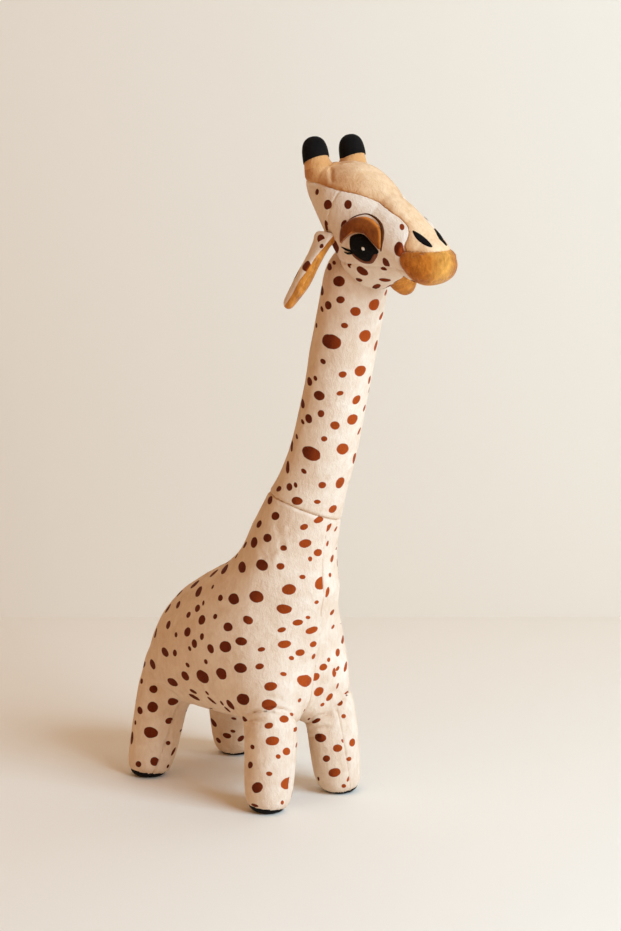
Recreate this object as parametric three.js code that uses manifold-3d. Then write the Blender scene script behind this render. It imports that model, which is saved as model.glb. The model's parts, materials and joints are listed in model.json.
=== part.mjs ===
// A standing stuffed toy giraffe: sewn plush covers over fibre filling, with limbs that give at their seams.
// Millimetres. +X is the way the giraffe faces, +Y its left side, +Z up. It stands on its four soles.

import * as THREE from 'three';
import { mergeVertices } from 'three/addons/utils/BufferGeometryUtils.js';
import Module from 'manifold-3d';

const wasm = await Module();
wasm.setup();

// Fabric, seams and filling
const fabricWall = 2.2;
const seamGap = 0.3;
const fillingGap = 0.3;
const socketGap = 0.3;

// Torso: level sections from the belly to the neck. A lobe pushes a section's corners out over the leg tops.
const torsoSides = 20;
const torsoSections = [
  { z: 88, back: -60, front: 60, half: 38, frontLobe: 0.36, backLobe: 0.2, sideLobe: 0.15 },
  { z: 94, back: -90, front: 85, half: 60, frontLobe: 0.44, backLobe: 0.25, sideLobe: 0.15 },
  { z: 107, back: -106, front: 97, half: 72, frontLobe: 0.45, backLobe: 0.26, sideLobe: 0.13 },
  { z: 128, back: -113, front: 103, half: 77, frontLobe: 0.38, backLobe: 0.22, sideLobe: 0.1 },
  { z: 155, back: -111, front: 110, half: 79, frontLobe: 0.23, backLobe: 0.16, sideLobe: 0.06 },
  { z: 180, back: -98, front: 117, half: 77, frontLobe: 0.1, backLobe: 0.1, sideLobe: 0.03 },
  { z: 203, back: -78, front: 122, half: 71, frontLobe: 0.02, backLobe: 0.05, sideLobe: 0 },
  { z: 224, back: -43, front: 126, half: 64, frontLobe: 0, backLobe: 0, sideLobe: 0 },
  { z: 245, back: 1, front: 129, half: 55, frontLobe: 0, backLobe: 0, sideLobe: 0 },
  { z: 268, back: 28, front: 131, half: 48, frontLobe: 0, backLobe: 0, sideLobe: 0 },
  { z: 304, back: 46, front: 137, half: 42.5, frontLobe: 0, backLobe: 0, sideLobe: 0 },
  { z: 346, back: 65, front: 149, half: 38.5, frontLobe: 0, backLobe: 0, sideLobe: 0 },
];
const torsoTop = torsoSections[torsoSections.length - 1];

// Neck: a leaning tube. Its rounded foot sits in a dish on the torso and its rounded top in the head.
// The bow and the head's pivot are measured from the neck's own pivot.
const neckSides = 16;
const neckPivotForward = 4.5;
const neckPivotRise = 6;
const neckFootRadius = 48;
const neckSeamRadius = 40;
const neckBow = new THREE.Vector3(25.5, 0, 65);
const neckBowRadius = 33.5;
const neckReach = new THREE.Vector3(62.5, 0, 210);
const neckTopRadius = 33;
const neckFootOpening = 24;
const neckTopOpening = 20;
const nodSwing = 12;

// Legs: a slanted tube with a ball at the hip
const legSides = 12;
const hipHeight = 100;
const hipRadius = 27;
const calfHeight = 52;
const calfRadius = 26;
const ankleHeight = 22;
const ankleRadius = 24.5;
const footBulge = 1.1;
const soleRadius = 20.5;
const soleFlatRadius = 13;
const soleThickness = 5;
const legTopOpening = 18;
const legSwing = 10;
const frontHip = { x: 88, y: 39.5 };
const frontFoot = { x: 94, y: 50.5 };
const rearHip = { x: -77, y: 46.5 };
const rearFoot = { x: -88, y: 57.5 };

// Head, measured from the pivot on top of the neck: upright sections from the nape to the tip of the muzzle
const headSides = 20;
const headSections = [
  { x: -56, low: 86, high: 99, half: 14 },
  { x: -49, low: 77, high: 105, half: 25 },
  { x: -37, low: 63, high: 108, half: 33.5 },
  { x: -5, low: 18, high: 112, half: 43 },
  { x: 14, low: 1, high: 109, half: 44 },
  { x: 34, low: -4, high: 100, half: 42 },
  { x: 54, low: -5, high: 87, half: 38.5 },
  { x: 88, low: -2, high: 62, half: 33.5 },
  { x: 103, low: 1, high: 51, half: 31.5 },
  { x: 114, low: 7, high: 42, half: 26 },
  { x: 121, low: 14, high: 35, half: 17 },
  { x: 124, low: 20, high: 29, half: 8 },
];

// Seams of the head seen from the side, as [x, z]
const foreheadSeam = [[-84, 95], [-34, 94], [10, 88], [35, 83.5], [58, 73], [80, 62], [92, 50], [95, 35]];
const muzzleSeam = [[91, 26], [92, 15], [106, -12]];
const jawSeamHeight = 16;
const napeSeamTop = [12, 87];
const napeSeamLow = [-1, 38];

// Horns
const hornSides = 12;
const hornBase = { x: -31, y: 24.5 };
const hornBury = 10;
const hornLength = 47;
const hornLean = 8;
const hornSpread = 1;
const hornFootRadius = 13;
const hornRadius = 12.5;
const hornCapLength = 25;

// Ears: a padded leaf of two panels, hanging from a rolled root at the side of the head
const earSides = 10;
const earRoot = { x: -2, z: 41 };
const earRootProud = 3.3;
const earRootRadius = 5;
const earRootLength = 22;
const earLength = 77;
const earHang = 31;
const earBackLean = 6.5;
const earTwist = -41;
const earTwistEnd = 0.4;
const earStations = [
  { share: 0, width: 21, depth: 10 },
  { share: 0.14, width: 27, depth: 10 },
  { share: 0.3, width: 36, depth: 12 },
  { share: 0.5, width: 38, depth: 14 },
  { share: 0.7, width: 34, depth: 14 },
  { share: 0.87, width: 25, depth: 11 },
  { share: 0.97, width: 14, depth: 8 },
  { share: 1, width: 6, depth: 4 },
];

// Eyes: a black oval patch under a padded lid with a corded edge, and a thin lid below
const eyeSides = 12;
const eyePlace = { x: 50.5, z: 35 };
const eyeHalfLength = 17.5;
const eyeHalfHeight = 14;
const eyeProud = 6;
const lidRise = 8;
const lidSetBack = 4;
const lidHalfLength = 26;
const lidHalfHeight = 23;
const lidProud = 8;
const lidTilt = 14;
const lidLine = 5;
const lidEdge = 2.4;
const lowerLidReach = 3.2;
const lowerLidProud = 3;

// Nostrils
const nostrilPlace = { x: 106.5, y: 12 };
const nostrilTilt = 57;
const nostrilHalfLength = 12;
const nostrilHalfWidth = 3.6;
const nostrilProud = 3;

// Tail
const tailSides = 10;
const tailRootHeight = 152;
const tailRootProud = 5.5;
const tailRootRadius = 7;
const tailRootLength = 12;
const tailLength = 78;
const tailRadius = 6;
const tailStandOff = 3;
const tuftRadius = 9.5;
const tuftNeck = 7;
const tuftLength = 34;

const colours = {
  printedPlush: 0xf3dfc8,
  caramelPlush: 0xd9a463,
  blackPlush: 0x171412,
  blackPatch: 0x0a0808,
  lidBrown: 0x96602f,
  lidEdgeBrown: 0x6b4120,
  filling: 0xf4f2ee,
};
const roughness = {
  printedPlush: 0.95,
  caramelPlush: 0.95,
  blackPlush: 0.9,
  blackPatch: 0.6,
  lidBrown: 0.85,
  lidEdgeBrown: 0.85,
  filling: 1,
};

const neckPivot = new THREE.Vector3(
  (torsoTop.front + torsoTop.back) / 2 + neckPivotForward,
  0,
  torsoTop.z + neckPivotRise,
);
const nodPivot = neckPivot.clone().add(neckReach);
const cutReach = 3 * nodPivot.z;
const ballAround = 18;
const ballDown = 9;
const rootAround = 12;

const upright = new THREE.Vector3(0, 0, 1);
const leftward = new THREE.Vector3(0, 1, 0);
const forward = new THREE.Vector3(1, 0, 0);
const sides = [{ word: 'right', sign: -1 }, { word: 'left', sign: 1 }];
const giraffe = new THREE.Group();
const head = new THREE.Group();
head.position.copy(nodPivot);
giraffe.add(head);

// Solids and cuts

function solidOf(geometry) {
  const bare = geometry.clone();
  bare.deleteAttribute('normal');
  bare.deleteAttribute('uv');
  const merged = mergeVertices(bare, 1e-4);
  const vertProperties = new Float32Array(merged.attributes.position.array);
  const triVerts = new Uint32Array(merged.index.array);
  return new wasm.Manifold(new wasm.Mesh({ numProp: 3, vertProperties, triVerts }));
}

function addPart(group, name, solid, finish) {
  const mesh = solid.getMesh();
  const geometry = new THREE.BufferGeometry();
  geometry.setAttribute('position', new THREE.BufferAttribute(new Float32Array(mesh.vertProperties), 3));
  geometry.setIndex(new THREE.BufferAttribute(new Uint32Array(mesh.triVerts), 1));
  geometry.computeVertexNormals();
  const material = new THREE.MeshStandardMaterial({
    color: colours[finish],
    roughness: roughness[finish],
    metalness: 0,
  });
  const part = new THREE.Mesh(geometry, material);
  part.name = name;
  group.add(part);
}

// A closed skin over a row of rings that have the same number of points
function loft(rings) {
  const count = rings[0].length;
  const points = rings.flat();
  const startCentre = points.length;
  for (const ring of [rings[0], rings[rings.length - 1]]) {
    points.push(middleOf(ring));
  }
  const lastRing = (rings.length - 1) * count;
  const faces = [];
  for (let s = 0; s < count; s++) {
    const next = (s + 1) % count;
    faces.push(startCentre, next, s);
    faces.push(startCentre + 1, lastRing + s, lastRing + next);
    for (let base = 0; base < lastRing; base += count) {
      faces.push(base + s, base + next, base + count + next);
      faces.push(base + s, base + count + next, base + count + s);
    }
  }
  const geometry = new THREE.BufferGeometry().setFromPoints(points);
  geometry.setIndex(faces);
  return solidOf(geometry);
}

function middleOf(ring) {
  const centre = new THREE.Vector3();
  ring.forEach((point) => centre.addScaledVector(point, 1 / ring.length));
  return centre;
}

function radians(degrees) {
  return THREE.MathUtils.degToRad(degrees);
}

function angles(count) {
  return Array.from({ length: count }, (_, i) => (2 * Math.PI * i) / count);
}

function ovalRing(centre, acrossX, halfX, acrossY, halfY, count) {
  return angles(count).map((a) => centre.clone()
    .addScaledVector(acrossX, halfX * Math.cos(a))
    .addScaledVector(acrossY, halfY * Math.sin(a)));
}

function roundRing(centre, radius, count, acrossX, acrossY) {
  return ovalRing(centre, acrossX, radius, acrossY, radius, count);
}

function lathe(profile, count, way, start) {
  const form = new THREE.LatheGeometry(profile.map(([r, h]) => new THREE.Vector2(r, h)), count);
  form.applyQuaternion(new THREE.Quaternion().setFromUnitVectors(leftward, way));
  form.translate(start.x, start.y, start.z);
  return solidOf(form);
}

function rod(centre, way, radius, length, count) {
  const form = new THREE.CylinderGeometry(radius, radius, length, count);
  form.applyQuaternion(new THREE.Quaternion().setFromUnitVectors(leftward, way));
  form.translate(centre.x, centre.y, centre.z);
  return solidOf(form);
}

// The room that a rolled root turns in
function rootRoom(centre, way, radius, length) {
  const outside = (radius + socketGap) / Math.cos(Math.PI / rootAround);
  return rod(centre, way, outside, length + 2 * socketGap, rootAround);
}

// The side of a plane that its normal points to, as a large block
function beyond(point, normal) {
  const block = new THREE.BoxGeometry(2 * cutReach, 2 * cutReach, cutReach);
  block.translate(0, 0, cutReach / 2);
  block.applyQuaternion(new THREE.Quaternion().setFromUnitVectors(upright, normal.clone().normalize()));
  block.translate(point.x, point.y, point.z);
  return solidOf(block);
}

// A faceted ball that holds a true ball of the given radius
function roomForBall(centre, radius) {
  const outside = radius / (Math.cos(Math.PI / ballAround) * Math.cos(Math.PI / (2 * ballDown)));
  const ball = new THREE.SphereGeometry(outside, ballAround, ballDown);
  ball.rotateX(Math.PI / 2);
  ball.translate(centre.x, centre.y, centre.z);
  return solidOf(ball);
}

// All that lies inside an outline drawn on the side view
function sideProfile(outline) {
  const shape = new THREE.Shape(outline.map(([x, z]) => new THREE.Vector2(x, z)));
  const block = new THREE.ExtrudeGeometry(shape, { depth: cutReach, bevelEnabled: false });
  block.rotateX(Math.PI / 2);
  block.translate(0, cutReach / 2, 0);
  return solidOf(block);
}

function ellipsoid(centre, outward, tilt, halfLength, halfHeight, proud) {
  const ball = new THREE.SphereGeometry(1, eyeSides, eyeSides / 2);
  ball.scale(halfLength, halfHeight, proud);
  ball.rotateZ(radians(tilt));
  ball.applyQuaternion(facing(outward));
  ball.translate(centre.x, centre.y, centre.z);
  return solidOf(ball);
}

// Turns local +Z to the outward direction, with local +Y as near to up as it can be
function facing(outward) {
  const z = outward.clone().normalize();
  const x = upright.clone().cross(z).normalize();
  const y = z.clone().cross(x);
  return new THREE.Quaternion().setFromRotationMatrix(new THREE.Matrix4().makeBasis(x, y, z));
}

function onSide(point, sign) {
  return new THREE.Vector3(point.x, point.y * sign, point.z);
}

// A value between the rows of a table that is sorted by one of its columns
function between(rows, column, place, wanted) {
  let i = 1;
  while (i < rows.length - 1 && rows[i][column] < place) {
    i++;
  }
  const share = (place - rows[i - 1][column]) / (rows[i][column] - rows[i - 1][column]);
  return THREE.MathUtils.lerp(rows[i - 1][wanted], rows[i][wanted], share);
}

// Legs

const legs = [];
for (const end of [{ word: 'front', hip: frontHip, foot: frontFoot }, { word: 'rear', hip: rearHip, foot: rearFoot }]) {
  for (const side of sides) {
    legs.push({ name: `${end.word}_${side.word}`, hip: end.hip, foot: end.foot, sign: side.sign });
  }
}

function legPoint(leg, z) {
  const share = z / hipHeight;
  const x = THREE.MathUtils.lerp(leg.foot.x, leg.hip.x, share);
  const y = THREE.MathUtils.lerp(leg.foot.y, leg.hip.y, share);
  return new THREE.Vector3(x, y * leg.sign, z);
}

function legForm(leg, inset, bottom) {
  const profile = [
    [bottom, soleRadius],
    [(soleThickness + ankleHeight) / 2, (soleRadius + ankleRadius) / 2 + footBulge],
    [ankleHeight, ankleRadius],
    [calfHeight, calfRadius],
    [hipHeight, hipRadius],
  ];
  const rings = profile.map(([z, r]) => roundRing(legPoint(leg, z), r - inset, legSides, forward, leftward));
  const ball = hipRadius - inset;
  for (const rise of [35, 70].map(radians)) {
    const centre = legPoint(leg, hipHeight).addScaledVector(upright, ball * Math.sin(rise));
    rings.push(roundRing(centre, ball * Math.cos(rise), legSides, forward, leftward));
  }
  return loft(rings);
}

// Room in the torso for a leg: its ball at the hip and the flare that its swing needs below
function legRoom(leg) {
  const hip = legPoint(leg, hipHeight);
  const reach = (hipRadius + socketGap) / Math.cos(Math.PI / legSides);
  const flare = hipHeight * Math.tan(radians(legSwing));
  const low = ovalRing(legPoint(leg, 0), forward, reach + flare, leftward, reach, legSides);
  const high = roundRing(hip, reach, legSides, forward, leftward);
  return roomForBall(hip, hipRadius + socketGap).add(loft([low, high]));
}

function addLeg(leg) {
  const hip = legPoint(leg, hipHeight);
  const foot = legPoint(leg, 0);
  const coverBottom = soleThickness + seamGap;
  const hollow = legForm(leg, fabricWall, soleThickness - fabricWall);
  const opening = rod(hip.clone().addScaledVector(upright, hipRadius), upright, legTopOpening, 2 * hipRadius, legSides);
  const cover = legForm(leg, 0, coverBottom).subtract(hollow).subtract(opening);
  const outward = new THREE.Vector3(0, hip.z - foot.z, foot.y - hip.y).multiplyScalar(leg.sign);
  const away = outward.clone().setLength(seamGap / 2);
  const outer = cover.intersect(beyond(foot.clone().add(away), outward));
  const inner = cover.intersect(beyond(foot.clone().sub(away), outward.clone().negate()));
  addPart(giraffe, `${leg.name}_leg_outer`, outer, 'printedPlush');
  addPart(giraffe, `${leg.name}_leg_inner`, inner, 'printedPlush');
  const stuffing = legForm(leg, fabricWall + fillingGap, soleThickness + fillingGap);
  addPart(giraffe, `${leg.name}_leg_filling`, stuffing, 'filling');

  const edge = [0, 45, 90].map(radians).map((a) => [
    soleFlatRadius + (soleRadius - soleFlatRadius) * Math.sin(a),
    soleThickness * (1 - Math.cos(a)),
  ]);
  const sole = lathe([[0, 0], ...edge, [0, soleThickness]], legSides, upright, foot);
  addPart(giraffe, `${leg.name}_sole`, sole, 'blackPlush');
}

// Torso

function torsoForm(inset, topRise) {
  return loft(torsoSections.map((section, i) => {
    const middle = (section.front + section.back) / 2;
    const reach = (section.front - section.back) / 2 - inset;
    const half = section.half - inset;
    const z = section.z + (i === 0 ? inset : 0) + (section === torsoTop ? topRise : 0);
    return angles(torsoSides).map((a) => {
      const corner = Math.sin(2 * a) ** 2;
      const endLobe = Math.cos(a) > 0 ? section.frontLobe : section.backLobe;
      const x = middle + reach * Math.cos(a) * (1 + endLobe * corner);
      const y = half * Math.sin(a) * (1 + section.sideLobe * corner);
      return new THREE.Vector3(x, y, z);
    });
  }));
}

function addTorso() {
  let room = roomForBall(neckPivot, neckFootRadius + socketGap);
  room = room.add(rootRoom(tailRoot(), leftward, tailRootRadius, tailRootLength));
  for (const leg of legs) {
    room = room.add(legRoom(leg));
  }
  const cover = torsoForm(0, 0).subtract(torsoForm(fabricWall, fabricWall)).subtract(room);
  for (const side of sides) {
    const outward = onSide(leftward, side.sign);
    const half = cover.intersect(beyond(outward.clone().multiplyScalar(seamGap / 2), outward));
    addPart(giraffe, `body_cover_${side.word}`, half, 'printedPlush');
  }
  addPart(giraffe, 'body_filling', torsoForm(fabricWall + fillingGap, 0).subtract(room), 'filling');
}

// Neck

function neckForm(inset) {
  const axis = new THREE.CatmullRomCurve3([neckPivot, neckPivot.clone().add(neckBow), nodPivot]);
  const startWay = axis.getTangent(0);
  const footBall = neckFootRadius - inset;
  const seamAngle = Math.asin((neckSeamRadius - inset) / footBall);
  const rings = [];
  for (const polar of [seamAngle / 3, seamAngle]) {
    const centre = neckPivot.clone().addScaledVector(startWay, -footBall * Math.cos(polar));
    const across = startWay.clone().cross(leftward);
    rings.push(roundRing(centre, footBall * Math.sin(polar), neckSides, leftward, across));
  }
  const radii = new THREE.CatmullRomCurve3([
    new THREE.Vector3(0, (neckSeamRadius + neckBowRadius) / 2, 0),
    new THREE.Vector3(0.5, neckBowRadius, 0),
    new THREE.Vector3(1, neckTopRadius, 0),
  ]);
  for (const share of [0, 0.2, 0.45, 0.72, 1]) {
    const across = axis.getTangentAt(share).cross(leftward);
    const radius = radii.getPoint(share).y - inset;
    rings.push(roundRing(axis.getPointAt(share), radius, neckSides, leftward, across));
  }
  const endWay = axis.getTangent(1);
  const topBall = neckTopRadius - inset;
  for (const rise of [30, 60].map(radians)) {
    const centre = nodPivot.clone().addScaledVector(endWay, topBall * Math.sin(rise));
    const across = endWay.clone().cross(leftward);
    rings.push(roundRing(centre, topBall * Math.cos(rise), neckSides, leftward, across));
  }
  return loft(rings);
}

// The way the neck runs where it enters the head
function neckTopWay() {
  return neckReach.clone().sub(neckBow).normalize();
}

// Room in the head for the neck's rounded top and for the flare that the nod needs below it
function neckRoom() {
  const way = neckTopWay();
  const across = way.clone().cross(leftward);
  const radius = (neckTopRadius + socketGap) / Math.cos(Math.PI / neckSides);
  const flare = neckTopRadius * Math.tan(radians(nodSwing));
  const low = roundRing(way.clone().multiplyScalar(-neckTopRadius), radius + flare, neckSides, leftward, across);
  const high = roundRing(new THREE.Vector3(), radius, neckSides, leftward, across);
  return roomForBall(new THREE.Vector3(), neckTopRadius + socketGap).add(loft([low, high]));
}

function addNeck() {
  const footWay = neckBow.clone().negate().normalize();
  const footEnd = neckPivot.clone().addScaledVector(footWay, neckFootRadius);
  const topEnd = nodPivot.clone().addScaledVector(neckTopWay(), neckTopRadius);
  const footMouth = rod(footEnd, footWay, neckFootOpening, neckFootRadius, neckSides);
  const topMouth = rod(topEnd, neckTopWay(), neckTopOpening, neckTopRadius, neckSides);
  const cover = neckForm(0).subtract(neckForm(fabricWall)).subtract(footMouth).subtract(topMouth);
  addPart(giraffe, 'neck_cover', cover, 'printedPlush');
  addPart(giraffe, 'neck_filling', neckForm(fabricWall + fillingGap), 'filling');
}

// Head

function headForm(inset) {
  const last = headSections.length - 1;
  return loft(headSections.map((section, i) => {
    const middle = (section.low + section.high) / 2;
    const rise = (section.high - section.low) / 2 - inset;
    const x = section.x + (i === 0 ? inset : 0) - (i === last ? inset : 0);
    return ovalRing(new THREE.Vector3(x, 0, middle), leftward, section.half - inset, upright, rise, headSides);
  }));
}

// A point on the head's left side, and the way its surface faces there
function headSide(x, z) {
  const y = (atX, atZ) => {
    const low = between(headSections, 'x', atX, 'low');
    const high = between(headSections, 'x', atX, 'high');
    const level = (2 * atZ - low - high) / (high - low);
    return between(headSections, 'x', atX, 'half') * Math.sqrt(1 - level ** 2);
  };
  const normal = new THREE.Vector3(y(x - 1, z) - y(x + 1, z), 2, y(x, z - 1) - y(x, z + 1)).normalize();
  return { point: new THREE.Vector3(x, y(x, z), z), normal };
}

// The same for the head's upper side
function headTop(x, y) {
  const z = (atX, atY) => {
    const low = between(headSections, 'x', atX, 'low');
    const high = between(headSections, 'x', atX, 'high');
    const aside = atY / between(headSections, 'x', atX, 'half');
    return (low + high) / 2 + ((high - low) / 2) * Math.sqrt(1 - aside ** 2);
  };
  const normal = new THREE.Vector3(z(x - 1, y) - z(x + 1, y), z(x, y - 1) - z(x, y + 1), 2).normalize();
  return { point: new THREE.Vector3(x, y, z(x, y)), normal };
}

function addHead() {
  let room = neckRoom();
  for (const side of sides) {
    room = room.add(rootRoom(onSide(earRootPoint(), side.sign), forward, earRootRadius, earRootLength));
  }
  const shell = headForm(0).subtract(headForm(fabricWall)).subtract(room);
  const far = headSections[headSections.length - 1].x + fabricWall;
  const ceiling = Math.max(...headSections.map((section) => section.high)) + fabricWall;
  const mouthCorner = foreheadSeam[foreheadSeam.length - 1];
  const chinEnd = muzzleSeam[muzzleSeam.length - 1];
  const upperOutline = [...foreheadSeam, [far, mouthCorner[1]], [far, ceiling], [foreheadSeam[0][0], ceiling]];
  const lowerOutline = [mouthCorner, ...muzzleSeam, [far, chinEnd[1]], [far, mouthCorner[1]]];
  const moved = (outline, x, z) => sideProfile(outline.map((point) => [point[0] + x, point[1] + z]));
  addPart(head, 'forehead_panel', shell.intersect(sideProfile(upperOutline)), 'caramelPlush');
  addPart(head, 'muzzle_panel', shell.intersect(moved(lowerOutline, 0, -seamGap)), 'caramelPlush');

  const caramel = moved(upperOutline, -seamGap, -seamGap).add(moved(lowerOutline, -2 * seamGap, 0));
  const printed = shell.subtract(caramel);
  const napeSeam = new THREE.Vector3(napeSeamTop[0], 0, napeSeamTop[1]);
  const backward = new THREE.Vector3(napeSeamLow[1] - napeSeamTop[1], 0, napeSeamTop[0] - napeSeamLow[0]).normalize();
  const behind = beyond(napeSeam.clone().addScaledVector(backward, seamGap / 2), backward);
  const ahead = beyond(napeSeam.clone().addScaledVector(backward, -seamGap / 2), backward.clone().negate());
  addPart(head, 'nape_panel', printed.intersect(behind), 'printedPlush');
  const face = printed.intersect(ahead);
  const downward = upright.clone().negate();
  const chin = face.intersect(beyond(new THREE.Vector3(0, 0, jawSeamHeight - seamGap / 2), downward));
  addPart(head, 'chin_panel', chin, 'printedPlush');
  const cheeks = face.intersect(beyond(new THREE.Vector3(0, 0, jawSeamHeight + seamGap / 2), upright));
  for (const side of sides) {
    const cheek = cheeks.intersect(beyond(new THREE.Vector3(), onSide(leftward, side.sign)));
    addPart(head, `${side.word}_cheek_panel`, cheek, 'printedPlush');
  }
  addPart(head, 'head_filling', headForm(fabricWall + fillingGap).subtract(room), 'filling');
}

// Horns

function addHorns(headSeat) {
  const capStart = hornLength - hornCapLength;
  const domeStart = hornLength - hornRadius;
  const stemEnd = capStart - seamGap;
  const stem = [[0, 0], [hornFootRadius, 0], [hornRadius, stemEnd], [0, stemEnd]];
  const dome = [30, 60].map(radians).map((a) => [hornRadius * Math.cos(a), domeStart + hornRadius * Math.sin(a)]);
  const cap = [[0, capStart], [hornRadius, capStart], [hornRadius, domeStart], ...dome, [0, hornLength]];
  for (const side of sides) {
    const base = headTop(hornBase.x, hornBase.y).point;
    base.z -= hornBury;
    base.y *= side.sign;
    const way = new THREE.Vector3(
      -Math.tan(radians(hornLean)),
      side.sign * Math.tan(radians(hornSpread)),
      1,
    ).normalize();
    addPart(head, `${side.word}_horn`, lathe(stem, hornSides, way, base).subtract(headSeat), 'caramelPlush');
    addPart(head, `${side.word}_horn_cap`, lathe(cap, hornSides, way, base), 'blackPlush');
  }
}

// Ears

function earRootPoint() {
  const root = headSide(earRoot.x, earRoot.z).point;
  root.y += earRootProud;
  return root;
}

function addEars() {
  for (const side of sides) {
    const root = onSide(earRootPoint(), side.sign);
    const way = new THREE.Vector3(
      -Math.tan(radians(earBackLean)),
      side.sign * Math.sin(radians(earHang)),
      -Math.cos(radians(earHang)),
    ).normalize();
    const flatWay = forward.clone().addScaledVector(way, -forward.dot(way)).normalize();
    const frames = earStations.map((station) => {
      const turn = radians(earTwist * side.sign * Math.min(1, station.share / earTwistEnd));
      const wide = flatWay.clone().applyAxisAngle(way, turn);
      const thick = way.clone().cross(wide);
      const centre = root.clone().addScaledVector(way, earLength * station.share);
      return { centre, wide, thick, width: station.width, depth: station.depth };
    });
    const rings = frames.map((f) => ovalRing(f.centre, f.wide, f.width / 2, f.thick, f.depth / 2, earSides));
    const leaf = loft(rings).add(rod(root, forward, earRootRadius, earRootLength, rootAround));
    const outer = earOuterHalf(frames, way, side.sign, 0);
    const outerGrown = earOuterHalf(frames, way, side.sign, seamGap);
    addPart(head, `${side.word}_ear_outer`, leaf.intersect(outer), 'printedPlush');
    addPart(head, `${side.word}_ear_inner`, leaf.subtract(outerGrown), 'caramelPlush');
  }
}

// The half of the ear that faces away from the neck, following the leaf's twist
function earOuterHalf(frames, way, sign, gap) {
  const reach = Math.max(...earStations.map((station) => station.width));
  const first = { ...frames[0], centre: frames[0].centre.clone().addScaledVector(way, -2 * earRootRadius) };
  const last = frames[frames.length - 1];
  const end = { ...last, centre: last.centre.clone().addScaledVector(way, earRootRadius) };
  return loft([first, ...frames, end].map((f) => {
    const corners = [[-1, -gap], [1, -gap], [1, reach], [-1, reach]].map(([across, out]) => f.centre.clone()
      .addScaledVector(f.wide, across * reach)
      .addScaledVector(f.thick, out * -sign));
    return sign > 0 ? corners.reverse() : corners;
  }));
}

// Eyes and nostrils

function addEyes(headSeat) {
  for (const side of sides) {
    const place = headSide(eyePlace.x, eyePlace.z);
    const centre = onSide(place.point, side.sign);
    const outward = onSide(place.normal, side.sign);
    const tilt = lidTilt * side.sign;
    const eye = (grow, proud) => ellipsoid(
      centre, outward, tilt, eyeHalfLength + grow, eyeHalfHeight + grow, proud,
    );
    addPart(head, `${side.word}_eye`, eye(0, eyeProud).subtract(headSeat), 'blackPatch');

    const turn = facing(outward);
    const lidUp = leftward.clone().applyAxisAngle(upright, radians(tilt)).applyQuaternion(turn);
    const lidPlace = headSide(eyePlace.x - lidSetBack, eyePlace.z + lidRise);
    const lidCentre = onSide(lidPlace.point, side.sign);
    const lidOutward = onSide(lidPlace.normal, side.sign);
    const lid = (grow, proud) => ellipsoid(
      lidCentre, lidOutward, tilt, lidHalfLength + grow, lidHalfHeight + grow, proud,
    );
    const seat = headSeat.add(eye(seamGap, eyeProud + seamGap));
    const above = beyond(centre.clone().addScaledVector(lidUp, lidLine), lidUp);
    const lidRoom = lid(seamGap, lidProud + seamGap);
    const edge = lid(lidEdge, lidProud - lidEdge).intersect(above).subtract(seat).subtract(lidRoom);
    addPart(head, `${side.word}_upper_lid`, lid(0, lidProud).intersect(above).subtract(seat), 'lidBrown');
    addPart(head, `${side.word}_lid_edge`, edge, 'lidEdgeBrown');
    const below = beyond(centre.clone().addScaledVector(lidUp, lidLine - seamGap), lidUp.clone().negate());
    const lower = eye(lowerLidReach, lowerLidProud).intersect(below).subtract(seat);
    addPart(head, `${side.word}_lower_lid`, lower, 'lidEdgeBrown');
  }
}

function addNostrils(headSeat) {
  for (const side of sides) {
    const place = headTop(nostrilPlace.x, nostrilPlace.y);
    const nostril = ellipsoid(
      onSide(place.point, side.sign),
      onSide(place.normal, side.sign),
      nostrilTilt * side.sign,
      nostrilHalfLength,
      nostrilHalfWidth,
      nostrilProud,
    );
    addPart(head, `${side.word}_nostril`, nostril.subtract(headSeat), 'blackPlush');
  }
}

// Tail

function tailRoot() {
  const back = between(torsoSections, 'z', tailRootHeight, 'back');
  return new THREE.Vector3(back - tailRootProud, 0, tailRootHeight);
}

// The least lean at which the tail hangs clear of the rump
function tailLean() {
  const root = tailRoot();
  const leans = torsoSections.filter((section) => section.z < root.z).map((section) => {
    const clear = root.x - section.back + tailRadius + tailStandOff;
    return Math.atan2(clear, root.z - section.z);
  });
  return Math.max(...leans);
}

function addTail() {
  const root = tailRoot();
  const way = new THREE.Vector3(-Math.sin(tailLean()), 0, -Math.cos(tailLean()));
  const cordEnd = tailLength - seamGap;
  const cord = lathe([[0, 0], [tailRadius, 0], [tailRadius, cordEnd], [0, cordEnd]], tailSides, way, root);
  const bead = rod(root, leftward, tailRootRadius, tailRootLength, rootAround);
  addPart(giraffe, 'tail_cover', cord.add(bead), 'printedPlush');
  const tuft = [
    [0, tailLength],
    [tuftNeck, tailLength],
    [tuftRadius, tailLength + tuftLength / 2],
    [tuftNeck, tailLength + tuftLength - tuftNeck / 2],
    [0, tailLength + tuftLength],
  ];
  addPart(giraffe, 'tail_tuft', lathe(tuft, tailSides, way, root), 'blackPlush');
}

// Assembly, with the origin under the middle of the whole box

const headSeat = headForm(-seamGap);
addTorso();
legs.forEach(addLeg);
addNeck();
addHead();
addHorns(headSeat);
addEars();
addEyes(headSeat);
addNostrils(headSeat);
addTail();

const box = new THREE.Box3().setFromObject(giraffe);
giraffe.position.x = -(box.min.x + box.max.x) / 2;

export default giraffe;
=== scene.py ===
import json
import math
import random

import bpy
import numpy as np
from mathutils import Matrix, Vector
from mathutils.bvhtree import BVHTree


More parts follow.
